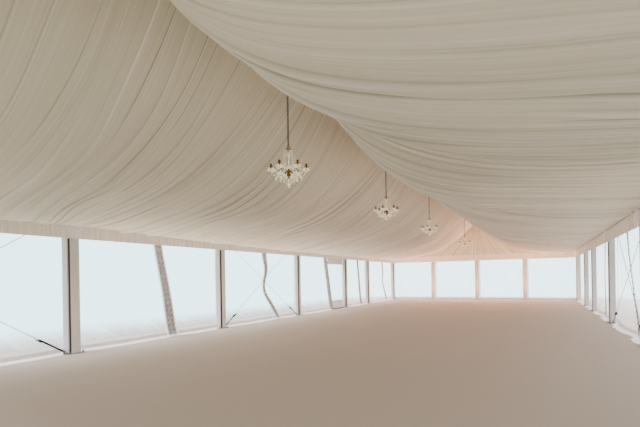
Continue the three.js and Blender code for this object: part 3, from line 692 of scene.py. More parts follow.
    # Soft bands under the pleats, and a taper to the ridge, the eave and the bay's seams
    band_run = add(tree, MATH, [seeded, 7.0], operation="MULTIPLY")
    banding = add(tree, "ShaderNodeCombineXYZ", [band_run, down_waves])
    bands = add(tree, NOISE, {"Vector": banding, "Scale": 1.0, "Detail": 2.0, "Roughness": 0.5})
    soft = add(tree, MATH, [bands, 0.36, -0.18], operation="MULTIPLY_ADD")
    offset = add(tree, MATH, [both, soft], operation="ADD")
    offset = add(tree, MATH, [offset, given["Fold Depth"]], operation="MULTIPLY")
    for value, from_min, from_max, to_min, to_max in (
            (s, 0.0, 0.32, 0.1, 1.0), (s, 0.94, 1.0, 1.0, 0.3), (slack, 0.0, 0.12, 0.15, 1.0)):
        taper = add(tree, "ShaderNodeMapRange", {
            "Value": value, "From Min": from_min, "From Max": from_max, "To Min": to_min, "To Max": to_max})
        offset = add(tree, MATH, [offset, taper], operation="MULTIPLY")
    # The cloth is hung first, and its fold heights and painted shades are kept with its points
    flat = add(tree, "ShaderNodeCombineXYZ", [run, x])
    kept = kept_with(tree, grid.outputs["Mesh"], flat, fold_shade=shade, fold_height=offset)
    hang_at = add(tree, "ShaderNodeCombineXYZ", [x, y, z])
    hung = add(tree, "GeometryNodeSetPosition", {"Geometry": kept, "Position": hang_at})
    inward = add(tree, "GeometryNodeFlipFaces", {"Mesh": hung})
    height_kept = add(tree, "GeometryNodeInputNamedAttribute", {"Name": "fold_height"}, data_type="FLOAT")
    normal = add(tree, "GeometryNodeInputNormal")
    out = add(tree, "ShaderNodeVectorMath", {0: normal, "Scale": height_kept}, operation="SCALE")
    pleated = add(tree, "GeometryNodeSetPosition", {"Geometry": inward, "Offset": out})
    return painted(tree, given, add(tree, "GeometryNodeSetShadeSmooth", {"Geometry": pleated}))


COPIES = copies_tree()
GATHERED = gathered_tree()
PLEATED = lining_tree()


def copies(start, end, count, item, material, middle=None, turn_each=0.0):
    """A mesh of copies of a small mesh along a line, or a sagging line through near a middle point."""
    start, end = Vector(start), Vector(end)
    middle = Vector(middle) if middle is not None else (start + end) / 2
    made = made_by(COPIES, "copies", {
        "Start": start, "Middle": middle, "End": end, "Count": count, "Turn Each": turn_each,
        "Material": material}, item)
    mesh = made.data
    bpy.data.objects.remove(made)
    return mesh


def finished(obj, body="root", stands_for=()):
    """Attaches a piece to what it rides on, and hides the nodes it stands for."""
    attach(obj, body)
    if stands_for:
        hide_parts(*stands_for)
    return obj


def hung_sheet(sheet, stands_for=(), pieces=()):
    """A sheet, and the pieces that are sewn or welded to it."""
    finished(sheet, stands_for=stands_for)
    for piece in pieces:
        finished(piece)


# Ceiling lining
LINER_LOW, LINER_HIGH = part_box("liner_bay_1")
LINER_THICK = 0.024
LINER_HALF = LINER_HIGH.x
LINER_EAVE_Z = LINER_LOW.z + LINER_THICK / 2
LINER_RISE = LINER_HIGH.z - LINER_LOW.z - LINER_THICK
POWER_AT_FRAME = 2.9
POWERS_MID_BAY = [4.5, 5.4, 4.6, 4.2, 3.8, 4.2]
NEAR_GABLE_HEM_Z = 2.66
BELLY_AT_FRAMES = [0.12, 0.11, 0.18, 0.18, 0.18, 0.16, 0.12]
BELLY_GAIN = 0.03
RIGHT_BELLY_SHARE = 0.3
FOLD_DEPTH = 0.05
FOLDS_PER_METRE = [4.0, 4.8, 5.4, 5.6, 5.6, 5.6]
LIP_WIDTH = 0.021
FINE_SHARES = [0.28, 0.42, 0.5, 0.5, 0.5, 0.5]
PLEAT_DRIFT = 0.45
PLEAT_SWEEP_SHARE = 0.24
SEAM_OVERLAP = 0.006
COLUMNS_PER_METRE = 90
LINER_ROWS = 89
GABLE_COLUMNS = 421
GABLE_ROWS = 25
GABLE_FAN_POWER = 2.4
GABLE_PLEAT_DEPTH = 0.02
GABLE_RIPPLE = 0.012


def liner_z(x, power=POWER_AT_FRAME):
    return LINER_EAVE_Z + LINER_RISE * (1 - np.minimum(1, np.abs(x) / LINER_HALF)) ** power


for k, power in enumerate(POWERS_MID_BAY):
    low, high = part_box(f"liner_bay_{k}")
    start_y = low.y - (SEAM_OVERLAP if k > 0 else 0)
    length = high.y + (SEAM_OVERLAP if k < LAST else 0) - start_y
    lining = made_by(PLEATED, f"ceiling_lining_{k}", {
        "Half Width": LINER_HALF, "Start": start_y, "Length": length, "Eave Height": LINER_EAVE_Z,
        "Rise": LINER_RISE, "Power At Frames": POWER_AT_FRAME, "Power Gain": power - POWER_AT_FRAME,
        "Belly At Start": BELLY_AT_FRAMES[k], "Belly At End": BELLY_AT_FRAMES[k + 1],
        "Belly Gain": BELLY_GAIN, "Right Belly Share": RIGHT_BELLY_SHARE, "Fold Depth": FOLD_DEPTH,
        "Folds Per Metre": FOLDS_PER_METRE[k], "Lip": LIP_WIDTH, "Fine Share": FINE_SHARES[k],
        "Drift": PLEAT_DRIFT, "Sweep": PLEAT_SWEEP_SHARE * length,
        "Columns": int(length * COLUMNS_PER_METRE), "Rows": LINER_ROWS, "Seed": 3.1 + 7.3 * k,
        "Material": LINING})
    hung_sheet(lining,
               [f"liner_bay_{k}"])


def gable_lining(end, sign):
    """The gable's lining: pleats fan out from the ridge to the valance line."""
    low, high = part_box(f"{end}_gable_liner")
    bottom_z = low.z if end == "far" else NEAR_GABLE_HEM_Z
    across = np.linspace(-1, 1, GABLE_COLUMNS)
    down = np.linspace(0, 1, GABLE_ROWS)[:, None]
    top_x = np.sign(across) * LINER_HALF * np.abs(across) ** GABLE_FAN_POWER
    bottom_x = across * LINER_HALF
    top_z = liner_z(top_x) + LINER_THICK / 2 - 0.003
    x = top_x + (bottom_x - top_x) * down
    z = top_z + np.minimum(0, bottom_z - top_z) * down
    rng = np.random.default_rng(11)
    edges = np.cumsum(rng.uniform(0.018, 0.055, 90)) - 1.05
    starts = np.searchsorted(edges, across) - 1
    width = edges[starts + 1] - edges[starts]
    saw = (across - edges[starts]) / width - 0.5
    depth = GABLE_PLEAT_DEPTH * saw + GABLE_RIPPLE * Ripple(12, 0.01, 0.05)(across)
    y = (low.y + high.y) / 2 - sign * depth * smooth_step(down, -0.1, 0.25)
    # Painted shade: dark in each pleat's crease, and a painted highlight on its lip
    shade = np.where(saw < -0.38, -1.0, np.where(saw > 0.36, 0.9, 0.0)) + 0 * down
    points, uv = stacked(x, y, z), stacked(bottom_x, z)
    if sign > 0:
        points, uv, shade = flipped(points, uv, shade)
    lining = new_object(f"{end}_gable_lining", with_painted_shade(grid_mesh("gable", points, uv), shade), LINING)
    hung_sheet(lining,
               [f"{end}_gable_liner"])


gable_lining("near", -1)
gable_lining("far", 1)


# Valances, cuffs and drapes
VALANCE_TOP = 2.569
VALANCE_BOTTOM = 2.24
VALANCE_X = DRAPE_INNER_X - 0.008
VALANCE_COLUMN = 0.01
VALANCE_HEIGHT = VALANCE_TOP - VALANCE_BOTTOM
VALANCE_SETTINGS = {"Height": VALANCE_HEIGHT, "Pleat Spacing": 0.12, "Pleat Depth": 0.026, "Rows": 9,
                    "Material": VALANCE_CLOTH}
GAP_SHADOW_RADIUS = 0.006
CUFF_WIDTH = 0.34
CUFF_BOTTOM = 2.245
CUFF_FACE_X = 4.846
DRAPE_TOP = 2.569
DRAPE_BOTTOM = 0.013
SLEEVE_HALVES = [0.114, 0.114, 0.1, 0.08, 0.08, 0.085, 0.1]
POST_SLEEVE_HALF = 0.085
# The sleeves gape at one corner on the left legs, and are nearly closed on the right ones
SLEEVE_GAPE = {-1: 0.05, 1: 0.018}
SHADE_STRIP_TOP = 2.3


def valance(name, start, length, seed, turn, inward):
    """A gathered strip hung from the lining's edge. It is made along Y, and turned to face the room."""
    strip = made_by(GATHERED, name, {
        **VALANCE_SETTINGS, "Length": length, "Columns": int(length / VALANCE_COLUMN), "Seed": seed})
    moved(strip.data, Matrix.Translation(start) @ turn)
    face_along(strip.data, inward)
    return strip


def face_along(mesh, direction):
    """Turns a sheet's faces so that they look along a direction."""
    shape = bmesh.new()
    shape.from_mesh(mesh)
    facing = sum((face.normal.dot(Vector(direction)) for face in shape.faces), 0.0)
    if facing < 0:
        bmesh.ops.reverse_faces(shape, faces=shape.faces)
    shape.to_mesh(mesh)
    shape.free()


def valance_gap_shadow(name, side_x, start_y, length):
    """A dark tube along a valance's top edge: a painted shadow of the gap above the valance."""
    path = stacked(side_x, start_y + np.linspace(0, 1, 40) * length, VALANCE_TOP - GAP_SHADOW_RADIUS)
    return new_object(name, tube_mesh("tape", path, GAP_SHADOW_RADIUS, 8), SHADE_DARK_CLOTH)


def leg_drape(name, x0, y0, inward, half, seed):
    """A flat cloth sleeve round a leg or post, open down one corner, a little crumpled at its foot,
    and a dark strip behind the opening, painted shade inside the sleeve. inward is the direction,
    in plan, of that corner."""
    gape = SLEEVE_GAPE[-inward]
    open_x, open_y = half - gape, 0.5 * gape - half
    outline = [(half, open_y), (half, half), (-half, half), (-half, -half), (open_x, -half),
               (open_x, 0.02 - half)]
    painted_shade_strip = [(open_x - 0.01, 0.026 - half), (half - 0.012, open_y + 0.01)]
    if inward < 0:
        outline = [(-x, y) for x, y in reversed(outline)]
        painted_shade_strip = [(-x, y) for x, y in painted_shade_strip]
    around = []
    for (ax, ay), (bx, by) in zip(outline[:-1], outline[1:]):
        steps = max(2, int(math.hypot(bx - ax, by - ay) / 0.014))
        around += [(ax + (bx - ax) * t / steps, ay + (by - ay) * t / steps) for t in range(steps)]
    around.append(outline[-1])
    plan = np.array(around)
    distance = np.concatenate([[0], np.cumsum(np.linalg.norm(np.diff(plan, axis=0), axis=1))])
    soften = plan / np.maximum(np.abs(plan).max(axis=1), 1e-6)[:, None] * half
    corner = np.clip((np.abs(plan).min(axis=1) - half * 0.88) / (half * 0.12), 0, 1)
    plan = plan - soften * 0.05 * corner[:, None]
    height = np.concatenate([np.linspace(0, 0.25, 14), np.linspace(0.29, 1, 30)])[:, None]
    ripple = Ripple(seed, 0.05, 0.3)
    second = Ripple(seed + 1, 0.03, 0.12)
    folds = 0.006 * ripple(distance)[None, :] * (1.1 - 0.5 * height)
    crumple = 0.011 * second(distance[None, :] + 0.8 * height) * smooth_step(-height, -0.1, 0.0)
    normal = plan / np.linalg.norm(plan, axis=1)[:, None]
    bulge = (folds + crumple)[..., None] * normal[None]
    x = x0 + plan[None, :, 0] + bulge[..., 0]
    y = y0 + plan[None, :, 1] + bulge[..., 1]
    z = DRAPE_BOTTOM + (DRAPE_TOP - DRAPE_BOTTOM) * height + 0 * x
    drape = new_object(name, grid_mesh(name, stacked(x, y, z), stacked(distance[None, :], z)), LEG_CLOTH)
    # The dark strip: painted shade inside the sleeve's opening
    strip_x, strip_y = (np.array(values) for values in zip(*painted_shade_strip))
    strip_z = np.linspace(DRAPE_BOTTOM + 0.03, SHADE_STRIP_TOP, 40)[:, None]
    strip = grid_mesh("painted_shade_strip", stacked(x0 + strip_x, y0 + strip_y, strip_z), stacked(strip_x, strip_z))
    return drape, new_object(f"{name}_placket", strip, SHADE_DARK_CLOTH)


def cuff(name, sign, y, seed):
    """The smooth cuff over the valance at a leg, its near lower corner cut off."""
    near = max(y - CUFF_WIDTH / 2, -HALF_LENGTH - DRAPE_HALF)
    share = np.linspace(0, 1, 25)[None, :]
    down = np.linspace(0, 1, 15)[:, None]
    run = near + (y + CUFF_WIDTH / 2 - near) * share
    cut = 0.09 * np.clip(1 - share / 0.35, 0, 1)
    z = VALANCE_TOP + (CUFF_BOTTOM + cut - VALANCE_TOP) * down
    edge = np.minimum(np.minimum(share, 1 - share) / 0.12, 1)
    wave = 0.003 * Ripple(seed, 0.05, 0.2)(run + 0.3 * z)
    out = CUFF_FACE_X + 0.014 * (1 - np.sqrt(np.clip(edge * (2 - edge), 0, 1))) + wave
    points, uv = stacked(sign * out, run, z), stacked(run, z)
    if sign > 0:
        points, uv = flipped(points, uv)
    return new_object(name, grid_mesh(name, points, uv), CUFF_CLOTH)


def side_drapery(side, sign):
    """The valances of one side with the painted shadow along their tops, and the drape, painted shade strip
    and cuff of each of its legs.
    """
    for k in range(LAST + 1):
        start_y = FRAME_YS[k] - (DRAPE_HALF if k == 0 else 0)
        length = FRAME_YS[k + 1] - (DRAPE_HALF if k == LAST else 0) - start_y
        strip = valance(f"{side}_valance_{k}", (sign * VALANCE_X, start_y, VALANCE_TOP), length,
                        5.0 * k + 2 + sign, Matrix.Scale(-sign, 4, (1, 0, 0)), (-sign, 0, 0))
        # The dark tube along the valance's top: painted shadow of the gap
        top_shadow = valance_gap_shadow(f"{side}_valance_gap_shadow_{k}", sign * (VALANCE_X - 0.004), start_y, length)
        hung_sheet(strip,
                   [f"{side}_eave_drapery"], [top_shadow])
    for k, y in enumerate(FRAME_YS):
        half = SLEEVE_HALVES[k]
        drape, painted_shade_strip = leg_drape(f"{side}_leg_drape_{k}", sign * HALF_SPAN, y, -sign, half,
                                   20 + 3 * k + sign)
        hung_sheet(drape,
                   pieces=[painted_shade_strip])
        if k <= LAST:
            top = cuff(f"{side}_leg_cuff_{k}", sign, y, 60 + k)
            hung_sheet(top)


for side, sign in SIDES.items():
    side_drapery(side, sign)

GABLE_VALANCE_HALF = 4.85
gable_strip = valance(
    "gable_valance", (-GABLE_VALANCE_HALF, HALF_LENGTH - DRAPE_HALF - 0.008, VALANCE_TOP),
    2 * GABLE_VALANCE_HALF, 9.0, Matrix.Rotation(-math.pi / 2, 4, "Z"), (0, -1, 0))
hung_sheet(gable_strip,
           ["gable_drapery"])
for index, x in enumerate(POST_XS):
    drape, painted_shade_strip = leg_drape(f"gable_post_drape_{index}", x, HALF_LENGTH, -1, POST_SLEEVE_HALF, 90 + index)
    hung_sheet(drape,
               pieces=[painted_shade_strip])


# Roof covers
ROOF_PITCH = math.radians(20)
COVER_SAG = 0.022
COVER_WAVE = 0.004
FLAP_WAVE = 0.006


def roof_cover(k):
    """One bay of roof sheet, from flap to flap over the ridge, sagging a little between frames."""
    low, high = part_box(f"roof_cover_bay_{k}")
    half = high.x - 0.004
    ridge_z = high.z - 0.0045
    eave_z = ridge_z - half * math.tan(ROOF_PITCH)
    slope = np.linspace(half, 0, 25)[:-1]
    side_x = np.concatenate([[half] * 4, slope])
    rise = (half - slope) * math.tan(ROOF_PITCH)
    side_z = np.concatenate([np.linspace(low.z, eave_z - 0.02, 4), eave_z + rise])
    x = np.concatenate([-side_x, [0], side_x[::-1]])
    z = np.concatenate([side_z, [ridge_z], side_z[::-1]])
    girth = np.concatenate([[0], np.cumsum(np.hypot(np.diff(x), np.diff(z)))])
    y = np.linspace(low.y, high.y, 41)[:, None]
    over_bay = np.sin(math.pi * (y - low.y) / (high.y - low.y))
    on_slope = np.sin(math.pi * np.clip(np.abs(x) / half, 0, 1))
    ripple = Ripple(300 + k, 0.5, 1.6)(y * 1.7 + x)
    sag = (COVER_SAG + COVER_WAVE * ripple) * over_bay * on_slope
    flap = (np.abs(x) >= half - 1e-6) * smooth_step(low.z - z, -0.12, 0.0)
    push = FLAP_WAVE * Ripple(320 + k, 0.25, 0.9)(y) * flap
    points = stacked(x + np.sign(x) * np.abs(push), y, z - sag)
    sheet = new_object(f"roof_cover_{k}", grid_mesh("cover", points, stacked(y, girth)), ROOF)
    hung_sheet(sheet,
               [f"roof_cover_bay_{k}"])
    return x, z


for k in range(LAST + 1):
    COVER_X, COVER_Z = roof_cover(k)

# Keder strips over the joints of the covers: their section, out from the middle and up from the cover
STRIP_SECTION = [(-0.035, 0.0), (-0.021, 0.0096), (0.0, 0.012), (0.021, 0.0096), (0.035, 0.0)]


def joint_strip(y):
    """A low rounded strip that runs over the roof from eave to eave."""
    on_flap = np.abs(COVER_X) >= COVER_X.max() - 1e-6
    rows = [stacked(COVER_X + np.where(on_flap, np.sign(COVER_X) * lift, 0.0), y + offset,
                    COVER_Z + np.where(on_flap, 0.0, lift)) for offset, lift in STRIP_SECTION]
    uv = stacked(np.arange(len(rows))[:, None] * 0.01, np.linspace(0, 11, len(COVER_X)))
    return grid_mesh("strip", np.array(rows), uv)


END_STRIP_Y = HALF_LENGTH + 0.118
strips = [joint_strip(y) for y in FRAME_YS[1:-1] + [-END_STRIP_Y, END_STRIP_Y]]
finished(new_object("roof_joint_strips", joined_mesh("strips", strips), WHITE_BAND))


def gable_cover(end, sign):
    """The flat gable triangle of roof sheet, with a hem along its lower edge."""
    low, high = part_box(f"{end}_gable_cover")
    x = np.linspace(low.x, high.x, 81)[None, :]
    down = np.linspace(0, 1, 17)[:, None]
    top = high.z - np.abs(x) * math.tan(ROOF_PITCH)
    z = top + (low.z - top) * down
    middle_y = (low.y + high.y) / 2
    points, uv = stacked(x, middle_y + 0.003 * Ripple(340, 0.4, 1.5)(x + 0.5 * z), z), stacked(x, z)
    if sign < 0:
        points, uv = flipped(points, uv)
    sheet = new_object(f"{end}_gable_sheet", grid_mesh("gable", points, uv), ROOF)
    hem = new_object(f"{end}_gable_hem", soft_box_mesh(
        "hem", (low.x, middle_y - 0.003, low.z), (high.x, middle_y + 0.003, low.z + 0.06), 0.002), WHITE_BAND)
    hung_sheet(sheet,
               [f"{end}_gable_cover"], [hem])


gable_cover("near", -1)
gable_cover("far", 1)

# Clear walls
WALL_X = 5.142
WALL_TOP = 2.74
BORDER = 0.07
TOP_BORDER = 0.2
HEM_HEIGHT = 0.1
FOOT_BORDER = 0.17
KICK_HEIGHT = 0.36
HEM_REACH = 0.2
HEM_CURVE_FROM = 0.3
LAYER_GAP = 0.002
SEAM_BORDER = 0.045
FLANGE_WIDTH = 0.12
SEAM_X = 5.124
GABLE_BORDER = 0.16
ENTRY_BAY = 3
ENTRY_HEADER_BOTTOM = 2.0
HEADER_FROM_MIDDLE = 0.62
ENTRY_HEADER_TOP = 2.689
JAMB_BULGE = 0.1
PANEL_GAP = 0.004
GROUND_GAP = 0.004
SEAM_FOOT = 0.03
SEAM_ROWS = 64
BEND_STEPS = (0.0, -0.16, -0.08, 0.08, 0.16)
LACE_STRETCHES = 4
LACE_RADIUS = 0.005
KNOT_HALF = 0.013
WALL_SPACING = 0.06

# Where two panels are laced together in a bay: height, distance along Y from the middle of the
# bay, and the band's width there, from the top down. The loose ones hang in bows and twist.
STRAIGHT_SEAM = [(2.62, 0.0, 0.23), (1.2, 0.2, 0.24), (0.03, 0.35, 0.26)]
SEAMS = {
    ("left", 0): STRAIGHT_SEAM,
    ("left", 1): [(2.62, 0.02, 0.2), (2.18, 0.07, 0.2), (1.14, 0.3, 0.22), (0.03, 0.49, 0.27)],
    ("left", 2): [(2.62, 0.12, 0.25), (2.2, 0.17, 0.22), (1.67, 0.3, 0.15), (1.26, 0.1, 0.08),
                  (0.88, 0.16, 0.12), (0.62, 0.48, 0.17), (0.2, 0.84, 0.2), (0.03, 1.0, 0.2)],
    ("left", 3): [(2.62, 0.2, 0.22), (2.2, 0.33, 0.2), (0.33, 0.8, 0.22), (0.03, 0.88, 0.22)],
    ("left", 4): [(2.62, 0.3, 0.2), (1.3, 0.55, 0.2), (0.03, 0.75, 0.22)],
    ("left", 5): [(2.62, 0.4, 0.22), (1.7, 0.65, 0.2), (1.2, 0.45, 0.12), (0.3, 1.1, 0.2), (0.03, 1.2, 0.2)],
    ("right", 0): STRAIGHT_SEAM,
    ("right", 1): [(2.62, 0.1, 0.23), (1.4, -0.1, 0.2), (0.03, -0.4, 0.25)],
    ("right", 2): [(2.62, 0.62, 0.2), (1.9, 0.4, 0.12), (1.0, -0.15, 0.1), (0.5, -0.5, 0.16),
                   (0.03, -0.8, 0.2)],
    ("right", 3): [(2.62, 0.0, 0.22), (1.3, 0.25, 0.16), (0.03, 0.1, 0.22)],
    ("right", 4): [(2.62, 0.0, 0.2), (0.03, 0.2, 0.2)],
    ("right", 5): [(2.62, 0.1, 0.2), (0.03, -0.2, 0.2)],
}


def bay_middle(k):
    return FRAME_YS[k] + BAYS[k] / 2


def seam_line(side, k, height):
    """Where a seam runs at a height: its place along Y, and its width there, both with rounded bends."""
    heights, *columns = np.array(SEAMS[side, k])[::-1].T
    place, width = (sum(np.interp(height + step, heights, column) for step in BEND_STEPS) / len(BEND_STEPS)
                    for column in columns)
    return bay_middle(k) + place, width


# The wall's foot is held at each leg and at each seam, and bows inward between them
FEET = {side: np.array(sorted(FRAME_YS + [float(seam_line(side, k, SEAM_FOOT)[0]) for k in range(LAST + 1)]))
        for side in SIDES}


def wall_x(side, y, z, seed):
    """How far the wall hangs from the middle of the tent: folds, and a hem that curves inward."""
    folds = 0.5 * Ripple(seed, 0.25, 0.8)(y + 0.25 * z) + 0.5 * Ripple(seed + 1, 0.3, 0.9)(y - 0.6 * z)
    slack = np.sin(math.pi * np.clip(z / WALL_TOP, 0, 1)) ** 0.7
    feet = FEET[side]
    before = np.clip(np.searchsorted(feet, y) - 1, 0, len(feet) - 2)
    share = np.clip((y - feet[before]) / (feet[before + 1] - feet[before]), 0, 1)
    bow = np.sin(math.pi * share) ** 0.8 * (0.75 + 0.25 * Ripple(seed + 2, 0.4, 1.2)(y))
    curl = np.clip((HEM_CURVE_FROM - z) / HEM_CURVE_FROM, 0, 1) ** 1.6
    return WALL_X + 0.018 * folds * slack - HEM_REACH * curl * bow


def facing_room(points, uv, side):
    """A left wall's sheet as it is, or mirrored for the right wall, facing into the room."""
    if side == "right":
        return flipped(points * [-1, 1, 1], uv)
    return points, uv


def even_grid(start, end, low, high, spacing):
    """Places along a panel, and heights up it, about a spacing apart."""
    along, up = (np.linspace(a, b, max(2, round((b - a) / spacing)) + 1)
                 for a, b in ((start, end), (low, high)))
    return np.broadcast_arrays(along[None, :], up[:, None])


def wall_mesh(name, side, y0, y1, z0, z1, seed, inset=0.0, spacing=WALL_SPACING):
    """A stretch of side wall, moved inward by inset."""
    y, z = even_grid(y0, y1, z0, z1, spacing)
    x = wall_x(side, y, z, seed) - inset
    return grid_mesh(name, *facing_room(stacked(-x, y, z + GROUND_GAP), stacked(y, z), side))


def flange_mesh(side, y0, y1, seed):
    """The hem's white flange, which lies on the ground inside the wall."""
    y = np.linspace(y0, y1, round((y1 - y0) / 0.04))[None, :]
    across = np.linspace(0, 1, 5)[:, None]
    waves = 0.3 * Ripple(seed + 5, 0.2, 0.7)(y)
    x = wall_x(side, y, 0 * y, seed) + 0.004 - FLANGE_WIDTH * across * (1 + waves)
    z = 0.005 + 0.03 * (1 - across) ** 2 + 0.006 * np.abs(waves) * across
    return grid_mesh("flange", *facing_room(stacked(-x, y, z), stacked(y, -x), side))


def wall_panel(side, y0, y1, seed, bordered=("near", "far")):
    """A clear panel's film, welded borders, grey hem and flange, as meshes."""
    film = wall_mesh("film", side, y0, y1, 0.0, WALL_TOP, seed)
    uprights = {"near": (y0, y0 + BORDER), "far": (y1 - BORDER, y1)}
    edges = [(*uprights[end], 0.0, WALL_TOP) for end in bordered]
    edges += [(y0, y1, WALL_TOP - TOP_BORDER, WALL_TOP), (y0, y1, 0.0, FOOT_BORDER)]
    borders = [wall_mesh("border", side, *edge, seed, LAYER_GAP) for edge in edges]
    hem = wall_mesh("hem", side, y0, y1, 0.0, HEM_HEIGHT, seed, 2 * LAYER_GAP, 0.03)
    return film, joined_mesh("borders", borders), hem, flange_mesh(side, y0, y1, seed)


def seam_strip(side, k, seed, from_share, to_share, columns, depth, bulge=0.0):
    """A strip along a seam, from one share of its width to another, or wider, as points and UVs."""
    height = np.linspace(SEAM_FOOT, SEAMS[side, k][0][0], SEAM_ROWS)[:, None]
    place, width = seam_line(side, k, height)
    share = np.linspace(from_share, to_share, columns)[None, :]
    extra = np.where(np.abs(share) > 0.5, (np.abs(share) - 0.5) * np.sign(share), 0.0)
    inner = np.clip(share, -0.5, 0.5)
    y = place + width * inner + extra
    pinch = np.clip(1 - width / 0.2, 0, 1)
    crumple = (0.008 + 0.03 * pinch) * Ripple(500 + k, 0.08, 0.4)(height + 0.7 * inner * width)
    rolled = bulge * np.cos(math.pi * inner) * (1 + 0.25 * Ripple(540 + k, 0.06, 0.3)(y + 0.2 * height))
    x = np.minimum(SEAM_X, wall_x(side, y, height, seed) - 0.012) - depth - np.abs(crumple) - rolled
    return facing_room(stacked(-x, y, height), stacked(y, height), side)


def seam_pieces(side, sign, k, seed, bulge=0.0):
    """The band where two panels meet, its white borders, and a lace down each side of it."""
    columns = 33 if bulge else 9
    points, uv = seam_strip(side, k, seed, -0.5, 0.5, columns, 0.006, bulge)
    band = new_object(f"{side}_wall_seam_{k}", grid_mesh("seam", points, uv), SEAM_BAND)
    reach = 0.5 + SEAM_BORDER
    edges = [grid_mesh("edge", *seam_strip(side, k, seed, *shares, 4, 0.0))
             for shares in ((-reach, -0.4), (0.4, reach))]
    border = new_object(f"{side}_wall_seam_borders_{k}", joined_mesh("edges", edges), WHITE_BAND)
    corners = [(0, KNOT_HALF * a, KNOT_HALF * b) for a, b in ((-1, 1), (-1, -1), (1, -1), (1, 1))]
    knot = tube_mesh("knot", corners, LACE_RADIUS, 6, closed=True)
    laces = []
    for column in (columns // 4, columns - 1 - columns // 4):
        line = points[:, column]
        cuts = [(SEAM_ROWS - 1) * part // LACE_STRETCHES for part in range(LACE_STRETCHES + 1)]
        for first, last in zip(cuts[:-1], cuts[1:]):
            start, end = Vector(line[first]), Vector(line[last])
            middle = Vector(line[(first + last) // 2]) * 2 - (start + end) / 2
            for point in (start, middle, end):
                point.x -= sign * LACE_RADIUS
            laces.append(copies(start, end, 6, knot, GREY_LACE, middle))
    lace = new_object(f"{side}_wall_lacing_{k}", joined_mesh("lacing", laces), GREY_LACE)
    return [band, border, lace]


def hang_wall(side, sign, k):
    """A bay of side wall: its film, borders, hem and flange, and the laced seam in it."""
    node = f"{side}_wall_bay_{k}"
    low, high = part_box(node)
    seed = 400 + 10 * k + sign
    entry_here = side == "left" and k == ENTRY_BAY
    bordered = ("near",) if entry_here else ("near", "far")
    film, borders, hem, flange = wall_panel(side, low.y + PANEL_GAP, high.y - PANEL_GAP, seed, bordered)
    film = new_object(f"{side}_wall_film_{k}", film, FILM)
    pieces = [new_object(f"{side}_wall_borders_{k}", borders, WHITE_BAND),
              new_object(f"{side}_wall_hem_{k}", hem, HEM_BAND),
              new_object(f"{side}_wall_flange_{k}", flange, WHITE_BAND)]
    if not entry_here:
        pieces += seam_pieces(side, sign, k, seed)
    hung_sheet(film, [node],
               pieces)


for side, sign in SIDES.items():
    for k in range(LAST + 1):
        hang_wall(side, sign, k)


def entry():
    """The entry panel: a clear sheet beside a laced jamb, with a header band, a kick strip and a sill."""
    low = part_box("entry_panel")[0]
    seed = 470
    y0, y1 = low.y + PANEL_GAP, FRAME_YS[ENTRY_BAY + 1] - PANEL_GAP
    foot_y = float(seam_line("left", ENTRY_BAY, SEAM_FOOT)[0])
    beside, beside_borders, hem, flange = wall_panel("left", y0, foot_y, seed, ())
    door = wall_mesh("door", "left", foot_y, y1, 0.0, WALL_TOP, seed)
    edges = [(y1 - BORDER, y1, 0.0, WALL_TOP), (foot_y, y1, WALL_TOP - TOP_BORDER, WALL_TOP)]
    borders = [beside_borders] + [wall_mesh("border", "left", *edge, seed, LAYER_GAP) for edge in edges]
    kick = wall_mesh("kick", "left", foot_y, y1, 0.0, KICK_HEIGHT, seed, 2 * LAYER_GAP, 0.03)
    curtain = new_object("entry_film", joined_mesh("film", [beside, door]), FILM)
    jamb_pieces = seam_pieces("left", -1, ENTRY_BAY, seed, JAMB_BULGE)
    header_y = bay_middle(ENTRY_BAY) + HEADER_FROM_MIDDLE
    header = new_object("entry_header", soft_box_mesh(
        "header", (-WALL_X, header_y, ENTRY_HEADER_BOTTOM), (-WALL_X + 0.009, y1, ENTRY_HEADER_TOP), 0.003),
                        HEADER_BAND)
    sill_y = np.linspace(foot_y, y1 - DRAPE_HALF, 40)
    sill_x = -(wall_x("left", sill_y, 0 * sill_y, seed) - 0.02)
    sill = new_object("entry_sill", tube_mesh("sill", stacked(sill_x, sill_y, 0.019), 0.018, 8), BLACK_STRAP)
    pieces = [new_object("entry_borders", joined_mesh("borders", borders), WHITE_BAND),
              new_object("entry_hem", hem, HEM_BAND), new_object("entry_flange", flange, WHITE_BAND),
              new_object("entry_kick_strip", kick, HEM_BAND), header, sill, *jamb_pieces]
    hung_sheet(curtain, ["entry_panel"],
               pieces)


entry()


def gable_wall():
    """The far gable's clear wall: four panels between the posts, with borders and hems."""
    low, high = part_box("gable_wall")
    middle_y = (low.y + high.y) / 2
    wave = Ripple(600, 0.3, 1.0)

    def stretch(x0, x1, z0, z1, inset):
        x, z = even_grid(x0, x1, z0, z1, WALL_SPACING)
        y = middle_y - inset + 0.003 * wave(x + 0.4 * z)
        return grid_mesh("gable", stacked(x, y, z + GROUND_GAP), stacked(x, z))

    top = high.z - 0.005
    film = new_object("gable_wall_film", stretch(low.x, high.x, 0.0, top, 0.0), FILM)
    cuts = [low.x, *POST_XS, high.x]
    borders = [stretch(low.x, high.x, top - 0.1, top, LAYER_GAP)]
    for x0, x1 in zip(cuts[:-1], cuts[1:]):
        borders += [stretch(a, a + GABLE_BORDER, 0.0, top, LAYER_GAP) for a in (x0, x1 - GABLE_BORDER)]
    border = new_object("gable_wall_borders", joined_mesh("borders", borders), WHITE_BAND)
    hem = new_object("gable_wall_hem", stretch(low.x, high.x, 0.0, HEM_HEIGHT, 2 * LAYER_GAP), HEM_BAND)
    hung_sheet(film, ["gable_wall"],
               [border, hem])


gable_wall()

